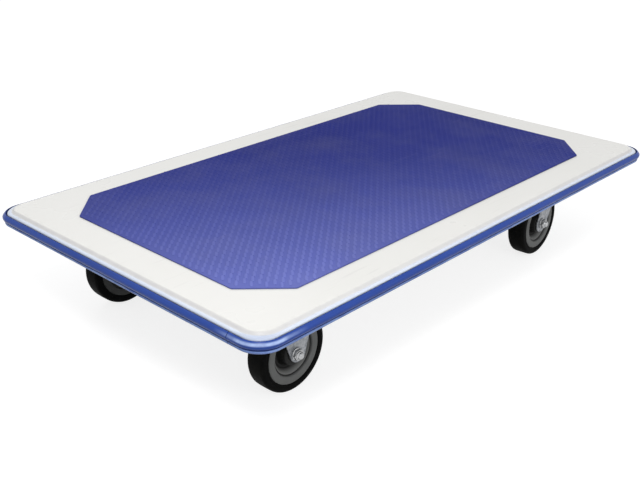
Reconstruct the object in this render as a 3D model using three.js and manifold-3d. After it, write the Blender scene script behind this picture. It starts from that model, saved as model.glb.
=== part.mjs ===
// Platform trolley: a pressed steel deck with an anti-slip mat, edged by a vinyl bumper,
// standing on two fixed casters at the near end and two swivel casters at the far end.
// Millimetres, +Z up. +X runs from the fixed casters to the swivel casters.
// The origin is on the floor under the middle of the deck.
import * as THREE from "three";
import { mergeVertices } from "three/addons/utils/BufferGeometryUtils.js";
import Module from "manifold-3d";

const wasm = await Module();
wasm.setup();

// Clearances and cuts that every sub-assembly shares
const seatGap = 0.3;
const boltClearance = 0.5;
const runningClearance = 0.8;
const cutOverrun = 5;

// Deck pan
const deckLength = 1000;
const deckWidth = 600;
const deckSheet = 2;
const skirtDepth = 19;
const skirtCornerRadius = 30;
const innerBendRadius = 1;
const lipWidth = 6;
const lipCornerRadius = 42;
const lipDrop = 3;
const stepRun = 3.5;

// Mat and the bare borders around it
const matThickness = 2;
const nearBorder = 65;
const farBorder = 71;
const sideBorder = 61;
const matCornerCut = 62;

// Bumper strip
const bumperProtrusion = 10;
const bumperTopDrop = 1.5;
const bumperUnderlap = 2;
const bumperLegThickness = 1.5;
const bumperLegHeight = 6.3;
const bumperButtGap = 1;
const bumperButtInset = 50;
// The outside of the bumper from its lower edge to its upper edge: a bead, a groove and the
// main bulge, as shares of the protrusion and of the height.
const bumperOutlineShares = [
  [0.44, 0],
  [0.62, 0.051],
  [0.71, 0.144],
  [0.68, 0.22],
  [0.57, 0.282],
  [0.74, 0.328],
  [0.93, 0.44],
  [1, 0.605],
  [0.86, 0.8],
  [0.62, 0.933],
  [0.28, 1],
];

// Channels and stiffeners under the deck
const channelDepth = 20;
const channelSheet = 2;
const channelFlange = 18;
const channelWebMargin = 2.5;
const channelEndGap = 7;
const stiffenerDepth = 15;
const stiffenerWeb = 60;
const stiffenerFlange = 15;
const stiffenerSideInset = 178;
const stiffenerEndGap = 2;

// Caster places under the deck
const fixedCasterEndInset = 147;
const fixedCasterSideInset = 104;
const kingpinEndInset = 165;
const kingpinSideInset = 101;
const rightSwivelTurn = THREE.MathUtils.degToRad(3);
const leftSwivelTurn = THREE.MathUtils.degToRad(-5);
const trail = 42;

// Wheel
const wheelRadius = 62.5;
const tyreWidth = 33;
const tyreDepth = 13.2;
const tyreShoulder = 5.5;
const tyreBeadChamfer = 1.5;
const hubRimInset = 0.5;
const hubRimDepth = 13;
const hubWebHalf = 3;
const hubBossWall = 8.4;
const hubBossStandOut = 0.5;
const hubDraft = 1.5;
const rollerCageThickness = 2.3;
const rollerCageInset = 2;
const sleeveThickness = 2.2;

// Axle bolt and its nut
const axleRadius = 5;
const axleHeadShoulder = 4.2;
const axleHeadHeight = 6.4;
const axleNutHeight = 8;
const axleTail = 2.5;

// Forks and brackets
const legThickness = 3;
const legTipRadius = 17;
const bracketLegInset = 4.5;

// Caster plates and their bolts
const plateThickness = 3.5;
const plateEdge = 12.5;
const plateCornerRadius = 9;
const boltRadius = 4;
const boltHeadShoulder = 3.5;
const boltHeadHeight = 5.3;
const boltHeadGap = 1.7;
const boltTail = 1.5;
const weldNutWall = 3;
const weldNutHeight = 6.5;

// Swivel head
const tyreHeadroom = 10.5;
const kingpinRadius = 6;
const kingpinTail = 1.9;
const kingpinNutWall = 4.5;
const kingpinNutHeight = 8;
const kingpinHeadShoulder = 4;
const kingpinHeadHeight = 4;
const crownThickness = 3.5;
const crownRadius = 36;
const crownBoltGap = 6.5;
const crownRimThickness = 3;
const crownRimGap = 2;
const crownLandMargin = 3.2;
const crownLandSlope = 2;
const dishHeadroom = 0.7;
const dishRingGap = 2.5;
const ballRingHeight = 7;
const ballRingGap = 0.5;
const ballRingWidth = 6;
const ballRingChamfer = 1.6;

// Numbers of flats and steps
const tyreSegments = 36;
const turnedSegments = 24;
const cageSegments = 16;
const pinSegments = 12;
const boltSegments = 8;
const hexagonSides = 6;
const deckCornerSteps = 6;
const plateCornerSteps = 3;
const bendSteps = 3;
const tipSteps = 10;
const shoulderSteps = 2;

// Levels of the swivel head, from the tyre's top upwards
const axleHeight = wheelRadius;
const kingpinEnd = 2 * wheelRadius + tyreHeadroom;
const kingpinNutBottom = kingpinEnd + kingpinTail;
const landBottom = kingpinNutBottom + kingpinNutHeight + seatGap;
const landTop = landBottom + crownThickness;
const dishFloorBottom = landTop + seatGap;
const dishFloorTop = dishFloorBottom + plateThickness;
const plateTop = dishFloorTop + seatGap + kingpinHeadHeight + dishHeadroom;
const plateBottom = plateTop - plateThickness;
const crownTop = plateBottom - ballRingHeight - 2 * seatGap;
const crownBottom = crownTop - crownThickness;

// Levels of the deck, from the caster plates upwards
const channelBottom = plateTop + seatGap;
const channelTop = channelBottom + channelDepth;
const panUnderside = channelTop + seatGap;
const plateauTop = panUnderside + deckSheet;
const lipTop = plateauTop - lipDrop;
const skirtBottom = lipTop - skirtDepth;
const matBottom = plateauTop + seatGap;

// Insets of the pan's rolled edge, its lip and its step, from the skirt's outer face
const bendRadius = deckSheet + innerBendRadius;
const lipEnd = bendRadius + lipWidth;
const plateauStart = lipEnd + stepRun;
const stepUnderShift = (deckSheet * (Math.hypot(stepRun, lipDrop) - stepRun)) / lipDrop;

// Places of the casters and stiffeners under the deck
const fixedCasterX = -deckLength / 2 + fixedCasterEndInset;
const fixedCasterTrack = deckWidth - 2 * fixedCasterSideInset;
const kingpinX = deckLength / 2 - kingpinEndInset;
const kingpinTrack = deckWidth - 2 * kingpinSideInset;
const stiffenerOffset = deckWidth / 2 - stiffenerSideInset;

// Places along the axle, out from the wheel's middle
const bossHalf = tyreWidth / 2 + hubBossStandOut;
const legInner = bossHalf + runningClearance;
const legOuter = legInner + legThickness;
const sleeveInner = axleRadius + seatGap;
const sleeveOuter = sleeveInner + sleeveThickness;
const rollerCageInner = sleeveOuter + boltClearance;
const rollerCageOuter = rollerCageInner + rollerCageThickness;
const hubBore = rollerCageOuter + seatGap;
const hubBossRadius = hubBore + hubBossWall;
const hubRadius = wheelRadius - tyreDepth - seatGap;

// Radii of bolt heads, nuts and the swivel head's rings
const axleHeadRadius = axleRadius + axleHeadShoulder;
const boltHeadRadius = boltRadius + boltHeadShoulder;
const weldNutRadius = boltRadius + boltClearance + weldNutWall;
const kingpinNutRadius = kingpinRadius + seatGap + kingpinNutWall;
const kingpinHeadRadius = kingpinRadius + kingpinHeadShoulder;
const crownRimInner = crownRadius - crownRimThickness;
const ballRingOuter = crownRimInner - ballRingGap;
const ballRingInner = ballRingOuter - ballRingWidth;
const dishRadius = ballRingInner - dishRingGap;

// The bolt pattern of a caster plate clears the legs across and the crown along
const patternWidth = 2 * (legOuter + boltHeadGap + boltHeadRadius);
const boltReach = crownRadius + crownBoltGap + boltHeadRadius;
const patternLength = 2 * Math.sqrt(boltReach ** 2 - (patternWidth / 2) ** 2);
const plateLength = patternLength + 2 * plateEdge;
const plateWidth = patternWidth + 2 * plateEdge;
const channelWeb = patternLength + 2 * (weldNutRadius + channelSheet + channelWebMargin);

// Finishes
function finish(color, roughness, metalness) {
  return new THREE.MeshStandardMaterial({ color, roughness, metalness });
}
const whitePaint = () => finish(0xecebe6, 0.35, 0);
const blueMat = () => finish(0x464c96, 0.6, 0);
const blueVinyl = () => finish(0x2f4fa2, 0.3, 0);
const greyPaint = () => finish(0x8b8f92, 0.5, 0.2);
const zincPlate = () => finish(0xa9adb0, 0.35, 0.9);
const brightZinc = () => finish(0xc4c7c9, 0.3, 0.95);
const blackRubber = () => finish(0x151515, 0.7, 0);
const greyNylon = () => finish(0x55585a, 0.5, 0);
const bearingSteel = () => finish(0x8e9194, 0.3, 0.9);

// Turns a closed three.js geometry into a solid that can be joined and cut
function solidOf(geometry) {
  const plain = geometry.clone();
  plain.deleteAttribute("normal");
  plain.deleteAttribute("uv");
  const merged = mergeVertices(plain);
  return new wasm.Manifold(
    new wasm.Mesh({
      numProp: 3,
      vertProperties: merged.attributes.position.array,
      triVerts: new Uint32Array(merged.index.array),
    }),
  );
}

function geometryOf(solid) {
  const made = solid.getMesh();
  const corners = new Float32Array(3 * made.numVert);
  for (let i = 0; i < made.numVert; i++) {
    corners.set(made.vertProperties.subarray(i * made.numProp, i * made.numProp + 3), 3 * i);
  }
  return surface(corners, Array.from(made.triVerts));
}

function surface(corners, faces) {
  const geometry = new THREE.BufferGeometry();
  geometry.setAttribute("position", new THREE.BufferAttribute(new Float32Array(corners), 3));
  geometry.setIndex(faces);
  geometry.computeVertexNormals();
  return geometry;
}

function joined(...geometries) {
  return geometryOf(geometries.map(solidOf).reduce((whole, next) => whole.add(next)));
}

function cut(geometry, ...cutters) {
  const whole = solidOf(geometry);
  return geometryOf(cutters.map(solidOf).reduce((left, next) => left.subtract(next), whole));
}

// A closed prism standing on the level `from`, its axis along Z
function drum(radius, from, to, sides) {
  const height = to - from;
  return new THREE.CylinderGeometry(radius, radius, height, sides)
    .rotateX(Math.PI / 2)
    .translate(0, 0, from + height / 2);
}

// The same prism with its axis along Y
function rod(radius, from, to, sides) {
  const length = to - from;
  return new THREE.CylinderGeometry(radius, radius, length, sides).translate(0, from + length / 2, 0);
}

// A ring turned about Y from a closed profile of [radius, height] pairs, anticlockwise
function turned(profile, segments) {
  const loop = [...profile, profile[0]];
  return new THREE.LatheGeometry(
    loop.map(([radius, height]) => new THREE.Vector2(radius, height)),
    segments,
  );
}

// The same ring about Z
function turnedUpright(profile, segments) {
  return turned(profile, segments).rotateX(Math.PI / 2);
}

function tube(innerRadius, outerRadius, from, to) {
  return [
    [innerRadius, from],
    [outerRadius, from],
    [outerRadius, to],
    [innerRadius, to],
  ];
}

function shapeOf(points) {
  return new THREE.Shape(points.map(([x, y]) => new THREE.Vector2(x, y)));
}

// Extrudes a shape upwards from a level
function slab(shape, from, to) {
  return new THREE.ExtrudeGeometry(shape, { depth: to - from, bevelEnabled: false }).translate(0, 0, from);
}

// Extrudes a shape drawn in X and Z along Y, centred on a place
function extrudedAcross(shape, width, middle) {
  return new THREE.ExtrudeGeometry(shape, { depth: width, bevelEnabled: false, curveSegments: tipSteps })
    .rotateX(Math.PI / 2)
    .translate(0, middle + width / 2, 0);
}

// Points round the four corners of a rounded rectangle, anticlockwise from the corner at
// -X and -Y, each with its outward direction
function cornerStations(length, width, radius, steps) {
  const stations = [];
  const corners = [
    [-1, -1],
    [1, -1],
    [1, 1],
    [-1, 1],
  ];
  corners.forEach(([alongX, alongY], quarter) => {
    const centre = new THREE.Vector2(alongX * (length / 2 - radius), alongY * (width / 2 - radius));
    for (let step = 0; step <= steps; step++) {
      const angle = Math.PI + (quarter + step / steps) * (Math.PI / 2);
      const outward = new THREE.Vector2(Math.cos(angle), Math.sin(angle));
      stations.push({ point: centre.clone().addScaledVector(outward, radius), outward });
    }
  });
  return stations;
}

// A closed skin through rings of equal count, from a point under the first to one over the last
function ringedSkin(rings, firstCentre, lastCentre) {
  const count = rings[0].length;
  const corners = [firstCentre, ...rings.flat(), lastCentre].flatMap((p) => [p.x, p.y, p.z]);
  const at = (ring, i) => 1 + ring * count + (i % count);
  const last = 1 + rings.length * count;
  const faces = [];
  for (let i = 0; i < count; i++) {
    faces.push(0, at(0, i + 1), at(0, i));
    for (let ring = 0; ring + 1 < rings.length; ring++) {
      faces.push(at(ring, i), at(ring, i + 1), at(ring + 1, i + 1));
      faces.push(at(ring, i), at(ring + 1, i + 1), at(ring + 1, i));
    }
    faces.push(at(rings.length - 1, i), at(rings.length - 1, i + 1), last);
  }
  return surface(corners, faces);
}

// A pressed pan: a raised plateau, a step down to a narrow lip, a rolled edge and a skirt
function deckPanGeometry() {
  const topRadius = (inset) => lipCornerRadius - (inset - bendRadius);
  const ring = (inset, height, radius) =>
    cornerStations(deckLength - 2 * inset, deckWidth - 2 * inset, radius, deckCornerSteps).map(
      ({ point }) => new THREE.Vector3(point.x, point.y, height),
    );

  const stepTopInset = plateauStart + stepUnderShift;
  const stepFootInset = lipEnd + stepUnderShift;
  const underside = [
    ring(stepTopInset, panUnderside, topRadius(stepTopInset)),
    ring(stepFootInset, lipTop - deckSheet, topRadius(stepFootInset)),
    ring(bendRadius, lipTop - deckSheet, lipCornerRadius),
    ring(deckSheet, lipTop - bendRadius, skirtCornerRadius - deckSheet),
    ring(deckSheet, skirtBottom, skirtCornerRadius - deckSheet),
  ];
  const outside = [ring(0, skirtBottom, skirtCornerRadius)];
  for (let step = 0; step <= bendSteps; step++) {
    const share = step / bendSteps;
    const angle = (share * Math.PI) / 2;
    const inset = bendRadius * (1 - Math.cos(angle));
    const height = lipTop - bendRadius * (1 - Math.sin(angle));
    outside.push(ring(inset, height, THREE.MathUtils.lerp(skirtCornerRadius, lipCornerRadius, share)));
  }
  outside.push(ring(lipEnd, lipTop, topRadius(lipEnd)));
  outside.push(ring(plateauStart, plateauTop, topRadius(plateauStart)));

  const underCentre = new THREE.Vector3(0, 0, panUnderside);
  const topCentre = new THREE.Vector3(0, 0, plateauTop);
  return ringedSkin([...underside, ...outside], underCentre, topCentre);
}

// A flat sheet with its four corners cut at 45 degrees, set nearer the fixed casters
function deckMatGeometry() {
  const near = -deckLength / 2 + nearBorder;
  const far = deckLength / 2 - farBorder;
  const side = deckWidth / 2 - sideBorder;
  const outline = [
    [near + matCornerCut, -side],
    [far - matCornerCut, -side],
    [far, -side + matCornerCut],
    [far, side - matCornerCut],
    [far - matCornerCut, side],
    [near + matCornerCut, side],
    [near, side - matCornerCut],
    [near, -side + matCornerCut],
  ];
  return slab(shapeOf(outline), matBottom, matBottom + matThickness);
}

// The bumper's section in [outwards from the skirt, height], anticlockwise
function bumperSection() {
  const bottom = skirtBottom - bumperUnderlap;
  const top = lipTop - bumperTopDrop;
  const slotFloor = skirtBottom - seatGap;
  const slotBack = -deckSheet - seatGap;
  const legBack = slotBack - bumperLegThickness;
  const legTop = slotFloor + bumperLegHeight;
  const outside = bumperOutlineShares.map(([outShare, heightShare]) => [
    outShare * bumperProtrusion,
    THREE.MathUtils.lerp(bottom, top, heightShare),
  ]);
  return [
    [legBack, bottom],
    ...outside,
    [seatGap, top],
    [seatGap, slotFloor],
    [slotBack, slotFloor],
    [slotBack, legTop],
    [legBack, legTop],
  ];
}

// The section led once round the skirt, from one side of its butt joint to the other
function bumperGeometry() {
  const section = bumperSection();
  const buttPlace = -deckWidth / 2 + bumperButtInset;
  const buttEnd = (offset) => ({
    point: new THREE.Vector2(-deckLength / 2, buttPlace + offset),
    outward: new THREE.Vector2(-1, 0),
  });
  const stations = [
    buttEnd(-bumperButtGap / 2),
    ...cornerStations(deckLength, deckWidth, skirtCornerRadius, deckCornerSteps),
    buttEnd(bumperButtGap / 2),
  ];
  const corners = stations.flatMap(({ point, outward }) =>
    section.flatMap(([out, height]) => [point.x + out * outward.x, point.y + out * outward.y, height]),
  );

  const count = section.length;
  const faces = [];
  for (let station = 0; station + 1 < stations.length; station++) {
    for (let i = 0; i < count; i++) {
      const here = station * count + i;
      const above = station * count + ((i + 1) % count);
      faces.push(here, here + count, above + count);
      faces.push(here, above + count, above);
    }
  }
  const outline = section.map(([out, height]) => new THREE.Vector2(out, height));
  const lastStart = (stations.length - 1) * count;
  for (const [a, b, c] of THREE.ShapeUtils.triangulateShape(outline, [])) {
    const anticlockwise = THREE.ShapeUtils.area([outline[a], outline[b], outline[c]]) > 0;
    const [first, second, third] = anticlockwise ? [a, b, c] : [a, c, b];
    faces.push(first, second, third);
    faces.push(lastStart + first, lastStart + third, lastStart + second);
  }
  return surface(corners, faces);
}

// A hat section in X and Z: a web below, two walls and two flanges turned out at the top
function hatShape(web, flange, bottom, top) {
  const half = web / 2;
  return shapeOf([
    [-half, bottom],
    [half, bottom],
    [half, top - channelSheet],
    [half + flange, top - channelSheet],
    [half + flange, top],
    [half - channelSheet, top],
    [half - channelSheet, bottom + channelSheet],
    [-half + channelSheet, bottom + channelSheet],
    [-half + channelSheet, top],
    [-half - flange, top],
    [-half - flange, top - channelSheet],
    [-half, top - channelSheet],
  ]);
}

// The places of the four bolts of a caster plate, about the plate's middle
function boltPlaces() {
  const places = [];
  for (const alongX of [-1, 1]) {
    for (const alongY of [-1, 1]) {
      places.push([(alongX * patternLength) / 2, (alongY * patternWidth) / 2]);
    }
  }
  return places;
}

// The cutter of a bolt's hole through whatever lies between two levels
function boltHole(x, y, from, to) {
  const hole = drum(boltRadius + boltClearance, from - cutOverrun, to + cutOverrun, boltSegments);
  return hole.translate(x, y, 0);
}

// A cross channel with a weld nut over each hole for the two casters that it carries
function channelGeometry(track) {
  const length = deckWidth - 2 * (plateauStart + stepUnderShift + channelEndGap);
  const nutBottom = channelBottom + channelSheet / 2;
  const nutTop = channelBottom + channelSheet + weldNutHeight;
  const nuts = [];
  const holes = [];
  for (const side of [-1, 1]) {
    for (const [x, y] of boltPlaces()) {
      const place = (side * track) / 2 + y;
      nuts.push(drum(weldNutRadius, nutBottom, nutTop, hexagonSides).translate(x, place, 0));
      holes.push(boltHole(x, place, channelBottom, nutTop));
    }
  }
  const hat = extrudedAcross(hatShape(channelWeb, channelFlange, channelBottom, channelTop), length, 0);
  return cut(joined(hat, ...nuts), ...holes);
}

// A lengthways stiffener between the two cross channels
function stiffenerGeometry() {
  const channelReach = channelWeb / 2 + channelFlange + stiffenerEndGap;
  const length = kingpinX - fixedCasterX - 2 * channelReach;
  const shape = hatShape(stiffenerWeb, stiffenerFlange, channelTop - stiffenerDepth, channelTop);
  return extrudedAcross(shape, length, 0).rotateZ(Math.PI / 2);
}

function roundedPlateShape() {
  const stations = cornerStations(plateLength, plateWidth, plateCornerRadius, plateCornerSteps);
  return new THREE.Shape(stations.map(({ point }) => point));
}

function plateBoltHoles() {
  return boltPlaces().map(([x, y]) => boltHole(x, y, plateBottom, plateTop));
}

// A caster bolt: its head under the plate, its shank up through the weld nut
function boltGeometry() {
  const headTop = plateBottom - seatGap;
  const shankTop = channelBottom + channelSheet + weldNutHeight + boltTail;
  const head = drum(boltHeadRadius, headTop - boltHeadHeight, headTop, hexagonSides);
  const shank = drum(boltRadius, headTop - boltHeadHeight / 2, shankTop, boltSegments);
  return joined(head, shank);
}

// A leg in X and Z: a straight top edge that narrows to a round tip about the axle
function legShape(left, right, top, tipX) {
  const rise = top - axleHeight;
  const tangentAngle = (reach) => {
    const distance = Math.hypot(reach, rise);
    return Math.atan2(rise, reach) - Math.acos(legTipRadius / distance);
  };
  const rightAngle = tangentAngle(right - tipX);
  const leftAngle = Math.PI - tangentAngle(tipX - left);
  const shape = new THREE.Shape();
  shape.moveTo(right, top);
  shape.lineTo(left, top);
  shape.absarc(tipX, axleHeight, legTipRadius, leftAngle, rightAngle + 2 * Math.PI, false);
  return shape;
}

function legPair(shape) {
  const middle = legInner + legThickness / 2;
  return [-middle, middle].map((place) => extrudedAcross(shape, legThickness, place));
}

function axleHole(tipX) {
  const reach = legOuter + cutOverrun;
  return rod(axleRadius + boltClearance, -reach, reach, pinSegments).translate(tipX, 0, axleHeight);
}

// The fixed caster's bracket: a bolted plate with two wide legs turned down from it
function bracketGeometry() {
  const plate = slab(roundedPlateShape(), plateBottom, plateTop);
  const halfTop = plateLength / 2 - bracketLegInset;
  const legs = legPair(legShape(-halfTop, halfTop, plateBottom + plateThickness / 2, 0));
  return cut(joined(plate, ...legs), ...plateBoltHoles(), axleHole(0));
}

// The swivel caster's plate: a bolted plate with a pressed dish that holds the kingpin's head
function swivelPlateGeometry() {
  const dishInner = dishRadius - plateThickness;
  const pinHole = kingpinRadius + boltClearance;
  const dish = turnedUpright(
    [
      [pinHole, dishFloorBottom],
      [dishRadius, dishFloorBottom],
      [dishRadius, plateTop],
      [dishInner, plateTop],
      [dishInner, dishFloorTop],
      [pinHole, dishFloorTop],
    ],
    turnedSegments,
  );
  const plate = slab(roundedPlateShape(), plateBottom, plateTop);
  const openingRadius = (dishInner + dishRadius) / 2;
  const opening = drum(openingRadius, plateBottom - cutOverrun, plateTop + cutOverrun, turnedSegments);
  return cut(joined(cut(plate, opening), dish), ...plateBoltHoles());
}

// The ring of balls between the plate and the crown
function ballRingGeometry() {
  const inner = ballRingInner;
  const outer = ballRingOuter;
  const bottom = crownTop + seatGap;
  const top = bottom + ballRingHeight;
  return turnedUpright(
    [
      [inner, bottom + ballRingChamfer],
      [inner + ballRingChamfer, bottom],
      [outer - ballRingChamfer, bottom],
      [outer, bottom + ballRingChamfer],
      [outer, top - ballRingChamfer],
      [outer - ballRingChamfer, top],
      [inner + ballRingChamfer, top],
      [inner, top - ballRingChamfer],
    ],
    turnedSegments,
  );
}

// The fork: a rimmed crown with a raised land round the kingpin, and two raked legs
function forkGeometry() {
  const pinHole = kingpinRadius + runningClearance;
  const landRadius = kingpinNutRadius + crownLandMargin;
  const rimTop = plateBottom - crownRimGap;
  const crown = turnedUpright(
    [
      [pinHole, landBottom],
      [landRadius, landBottom],
      [landRadius + crownLandSlope, crownBottom],
      [crownRadius, crownBottom],
      [crownRadius, rimTop],
      [crownRimInner, rimTop],
      [crownRimInner, crownTop],
      [landRadius + 2 * crownLandSlope, crownTop],
      [landRadius + crownLandSlope, landTop],
      [pinHole, landTop],
    ],
    turnedSegments,
  );
  const halfTop = Math.sqrt(crownRadius ** 2 - legOuter ** 2);
  const legs = legPair(legShape(-halfTop, halfTop, crownTop - crownThickness / 2, -trail));
  return cut(joined(crown, ...legs), axleHole(-trail));
}

function kingpinGeometry() {
  const headBottom = dishFloorTop + seatGap;
  const head = drum(kingpinHeadRadius, headBottom, headBottom + kingpinHeadHeight, turnedSegments);
  const shank = drum(kingpinRadius, kingpinEnd, headBottom + kingpinHeadHeight / 2, pinSegments);
  return joined(head, shank);
}

function kingpinNutGeometry() {
  const top = kingpinNutBottom + kingpinNutHeight;
  const nut = drum(kingpinNutRadius, kingpinNutBottom, top, hexagonSides);
  const bore = drum(kingpinRadius + seatGap, kingpinNutBottom - cutOverrun, top + cutOverrun, pinSegments);
  return cut(nut, bore);
}

// The axle bolt lies along Y, its head inside and its nut on the outside of the trolley
function axleGeometry() {
  const headFace = legOuter + seatGap;
  const end = legOuter + 2 * seatGap + axleNutHeight + axleTail;
  const head = rod(axleHeadRadius, headFace, headFace + axleHeadHeight, hexagonSides);
  return joined(head, rod(axleRadius, -end, headFace + axleHeadHeight / 2, pinSegments));
}

function axleNutGeometry() {
  const face = legOuter + seatGap;
  const far = face + axleNutHeight;
  const nut = rod(axleHeadRadius, -far, -face, hexagonSides);
  return cut(nut, rod(axleRadius + seatGap, -far - cutOverrun, -face + cutOverrun, pinSegments));
}

function sleeveGeometry() {
  const half = legInner - seatGap;
  return turned(tube(sleeveInner, sleeveOuter, -half, half), pinSegments);
}

function rollerCageGeometry() {
  const half = bossHalf - rollerCageInset;
  return turned(tube(rollerCageInner, rollerCageOuter, -half, half), cageSegments);
}

// The wheel's body: a boss, a thin web and a rim that carries the tyre
function hubGeometry() {
  const rimHalf = tyreWidth / 2 - hubRimInset;
  const rimInner = hubRadius - hubRimDepth;
  return turned(
    [
      [hubBore, -bossHalf],
      [hubBossRadius, -bossHalf],
      [hubBossRadius + hubDraft, -hubWebHalf],
      [rimInner - hubDraft, -hubWebHalf],
      [rimInner, -rimHalf],
      [hubRadius, -rimHalf],
      [hubRadius, rimHalf],
      [rimInner, rimHalf],
      [rimInner - hubDraft, hubWebHalf],
      [hubBossRadius + hubDraft, hubWebHalf],
      [hubBossRadius, bossHalf],
      [hubBore, bossHalf],
    ],
    turnedSegments,
  );
}

// The tyre: a flat tread with round shoulders, chamfered where it meets the rim
function tyreGeometry() {
  const inner = wheelRadius - tyreDepth;
  const half = tyreWidth / 2;
  const shoulder = [];
  for (let step = 0; step <= shoulderSteps; step++) {
    const angle = (step / shoulderSteps) * (Math.PI / 2);
    shoulder.push([
      wheelRadius - tyreShoulder * (1 - Math.sin(angle)),
      half - tyreShoulder * (1 - Math.cos(angle)),
    ]);
  }
  const lowerShoulder = shoulder.map(([radius, place]) => [radius, -place]);
  const upperShoulder = [...shoulder].reverse();
  return turned(
    [
      [inner, -half + tyreBeadChamfer],
      [inner + tyreBeadChamfer, -half],
      ...lowerShoulder,
      ...upperShoulder,
      [inner + tyreBeadChamfer, half],
      [inner, half - tyreBeadChamfer],
    ],
    tyreSegments,
  );
}

function piece(name, geometry, material) {
  const mesh = new THREE.Mesh(geometry, material);
  mesh.name = name;
  return mesh;
}

// The axle with what is held on it, in a group of its own about the axle's middle
function wheelSet(prefix) {
  const set = new THREE.Group();
  set.add(
    piece(`${prefix}_axle`, axleGeometry(), brightZinc()),
    piece(`${prefix}_axle_nut`, axleNutGeometry(), brightZinc()),
    piece(`${prefix}_sleeve`, sleeveGeometry(), bearingSteel()),
    piece(`${prefix}_roller_cage`, rollerCageGeometry(), bearingSteel()),
    piece(`${prefix}_hub`, hubGeometry(), greyNylon()),
    piece(`${prefix}_tyre`, tyreGeometry(), blackRubber()),
  );
  return set;
}

function casterBolts(prefix) {
  return boltPlaces().map(([x, y], index) => {
    const bolt = piece(`${prefix}_bolt_${index + 1}`, boltGeometry(), brightZinc());
    bolt.position.set(x, y, 0);
    return bolt;
  });
}

function fixedCaster(prefix) {
  const caster = new THREE.Group();
  const wheel = wheelSet(prefix);
  wheel.position.z = axleHeight;
  caster.add(piece(`${prefix}_bracket`, bracketGeometry(), zincPlate()), wheel, ...casterBolts(prefix));
  return caster;
}

function swivelCaster(prefix, turn) {
  const caster = new THREE.Group();
  const turning = new THREE.Group();
  const wheel = wheelSet(prefix);
  wheel.position.set(-trail, 0, axleHeight);
  turning.rotation.z = turn;
  turning.add(
    piece(`${prefix}_fork`, forkGeometry(), zincPlate()),
    piece(`${prefix}_ball_ring`, ballRingGeometry(), bearingSteel()),
    wheel,
  );
  caster.add(
    piece(`${prefix}_plate`, swivelPlateGeometry(), zincPlate()),
    piece(`${prefix}_kingpin`, kingpinGeometry(), brightZinc()),
    piece(`${prefix}_kingpin_nut`, kingpinNutGeometry(), brightZinc()),
    turning,
    ...casterBolts(prefix),
  );
  return caster;
}

// Puts a caster that is drawn for the right side on either side of the trolley
function placed(caster, x, track, side) {
  caster.position.set(x, (side * track) / 2, 0);
  caster.scale.y = -side;
  return caster;
}

function underframe() {
  const frame = new THREE.Group();
  const nearChannel = piece("fixed_end_channel", channelGeometry(fixedCasterTrack), greyPaint());
  nearChannel.position.x = fixedCasterX;
  const farChannel = piece("swivel_end_channel", channelGeometry(kingpinTrack), greyPaint());
  farChannel.position.x = kingpinX;
  const right = piece("right_stiffener", stiffenerGeometry(), greyPaint());
  right.position.set((fixedCasterX + kingpinX) / 2, -stiffenerOffset, 0);
  const left = piece("left_stiffener", stiffenerGeometry(), greyPaint());
  left.position.set((fixedCasterX + kingpinX) / 2, stiffenerOffset, 0);
  frame.add(nearChannel, farChannel, right, left);
  return frame;
}

const trolley = new THREE.Group();
trolley.add(
  piece("deck_pan", deckPanGeometry(), whitePaint()),
  piece("deck_mat", deckMatGeometry(), blueMat()),
  piece("bumper_strip", bumperGeometry(), blueVinyl()),
  underframe(),
  placed(fixedCaster("fixed_right"), fixedCasterX, fixedCasterTrack, -1),
  placed(fixedCaster("fixed_left"), fixedCasterX, fixedCasterTrack, 1),
  placed(swivelCaster("swivel_right", rightSwivelTurn), kingpinX, kingpinTrack, -1),
  placed(swivelCaster("swivel_left", leftSwivelTurn), kingpinX, kingpinTrack, 1),
);

export default trolley;
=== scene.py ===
"""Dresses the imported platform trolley: its visible shapes, finishes, light and camera.

Lengths in the builders are millimetres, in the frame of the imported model: +X runs from the
fixed casters to the swivel casters, +Y to the left side, and the floor is at zero.
"""

import logging
import math
from dataclasses import dataclass, field
from enum import Enum
from functools import reduce
from typing import ClassVar

import bmesh
import bpy
from mathutils import Matrix, Vector


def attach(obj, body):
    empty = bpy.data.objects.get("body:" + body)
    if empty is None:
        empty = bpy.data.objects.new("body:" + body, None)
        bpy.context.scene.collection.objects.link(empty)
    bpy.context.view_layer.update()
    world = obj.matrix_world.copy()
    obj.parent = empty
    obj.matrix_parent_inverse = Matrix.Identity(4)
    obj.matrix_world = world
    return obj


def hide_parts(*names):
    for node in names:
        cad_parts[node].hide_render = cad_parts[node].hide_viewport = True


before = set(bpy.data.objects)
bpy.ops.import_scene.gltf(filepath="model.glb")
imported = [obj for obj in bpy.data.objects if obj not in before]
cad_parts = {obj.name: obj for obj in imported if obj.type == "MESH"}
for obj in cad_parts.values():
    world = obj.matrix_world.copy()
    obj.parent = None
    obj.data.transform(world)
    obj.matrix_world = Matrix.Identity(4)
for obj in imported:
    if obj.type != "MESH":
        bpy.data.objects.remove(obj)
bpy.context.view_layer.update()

LOG = logging.getLogger("trolley")
MM = 0.001
MERGE_DISTANCE = 1e-7
SHARP_ANGLE = math.radians(38)
# Mesh attribute for dirt and dust, for painted shade in grooves, steps and recesses, and, below zero, for
# painted highlights.
DIRT_AND_PAINTED_LIGHT = "soil"
TURN = "turn"
WAYS = (-1, 1)
THREAD_PITCH = 1.25

Point = tuple[float, float]
Triple = tuple[float, float, float]
Colour = tuple[float, float, float, float]
Loop = list[Vector]
Socket = bpy.types.NodeSocket


class Slot(Enum):
    """The material slots of the record."""

    DECK_PAINT = "deck_paint"
    MAT = "anti_slip_mat"
    BUMPER = "bumper_vinyl"
    UNDERFRAME = "underframe_paint"
    ZINC = "zinc_steel"
    FASTENERS = "bright_fasteners"
    BEARINGS = "bearing_steel"
    HUB = "wheel_hub"
    TYRE = "tyre_rubber"


class Side(Enum):
    """The two long sides of the trolley, with the sign of their Y."""

    RIGHT = -1
    LEFT = 1

    @property
    def word(self) -> str:
        """The side's word in the names of nodes and bodies."""
        return self.name.lower()


# Outlines and loops


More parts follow.
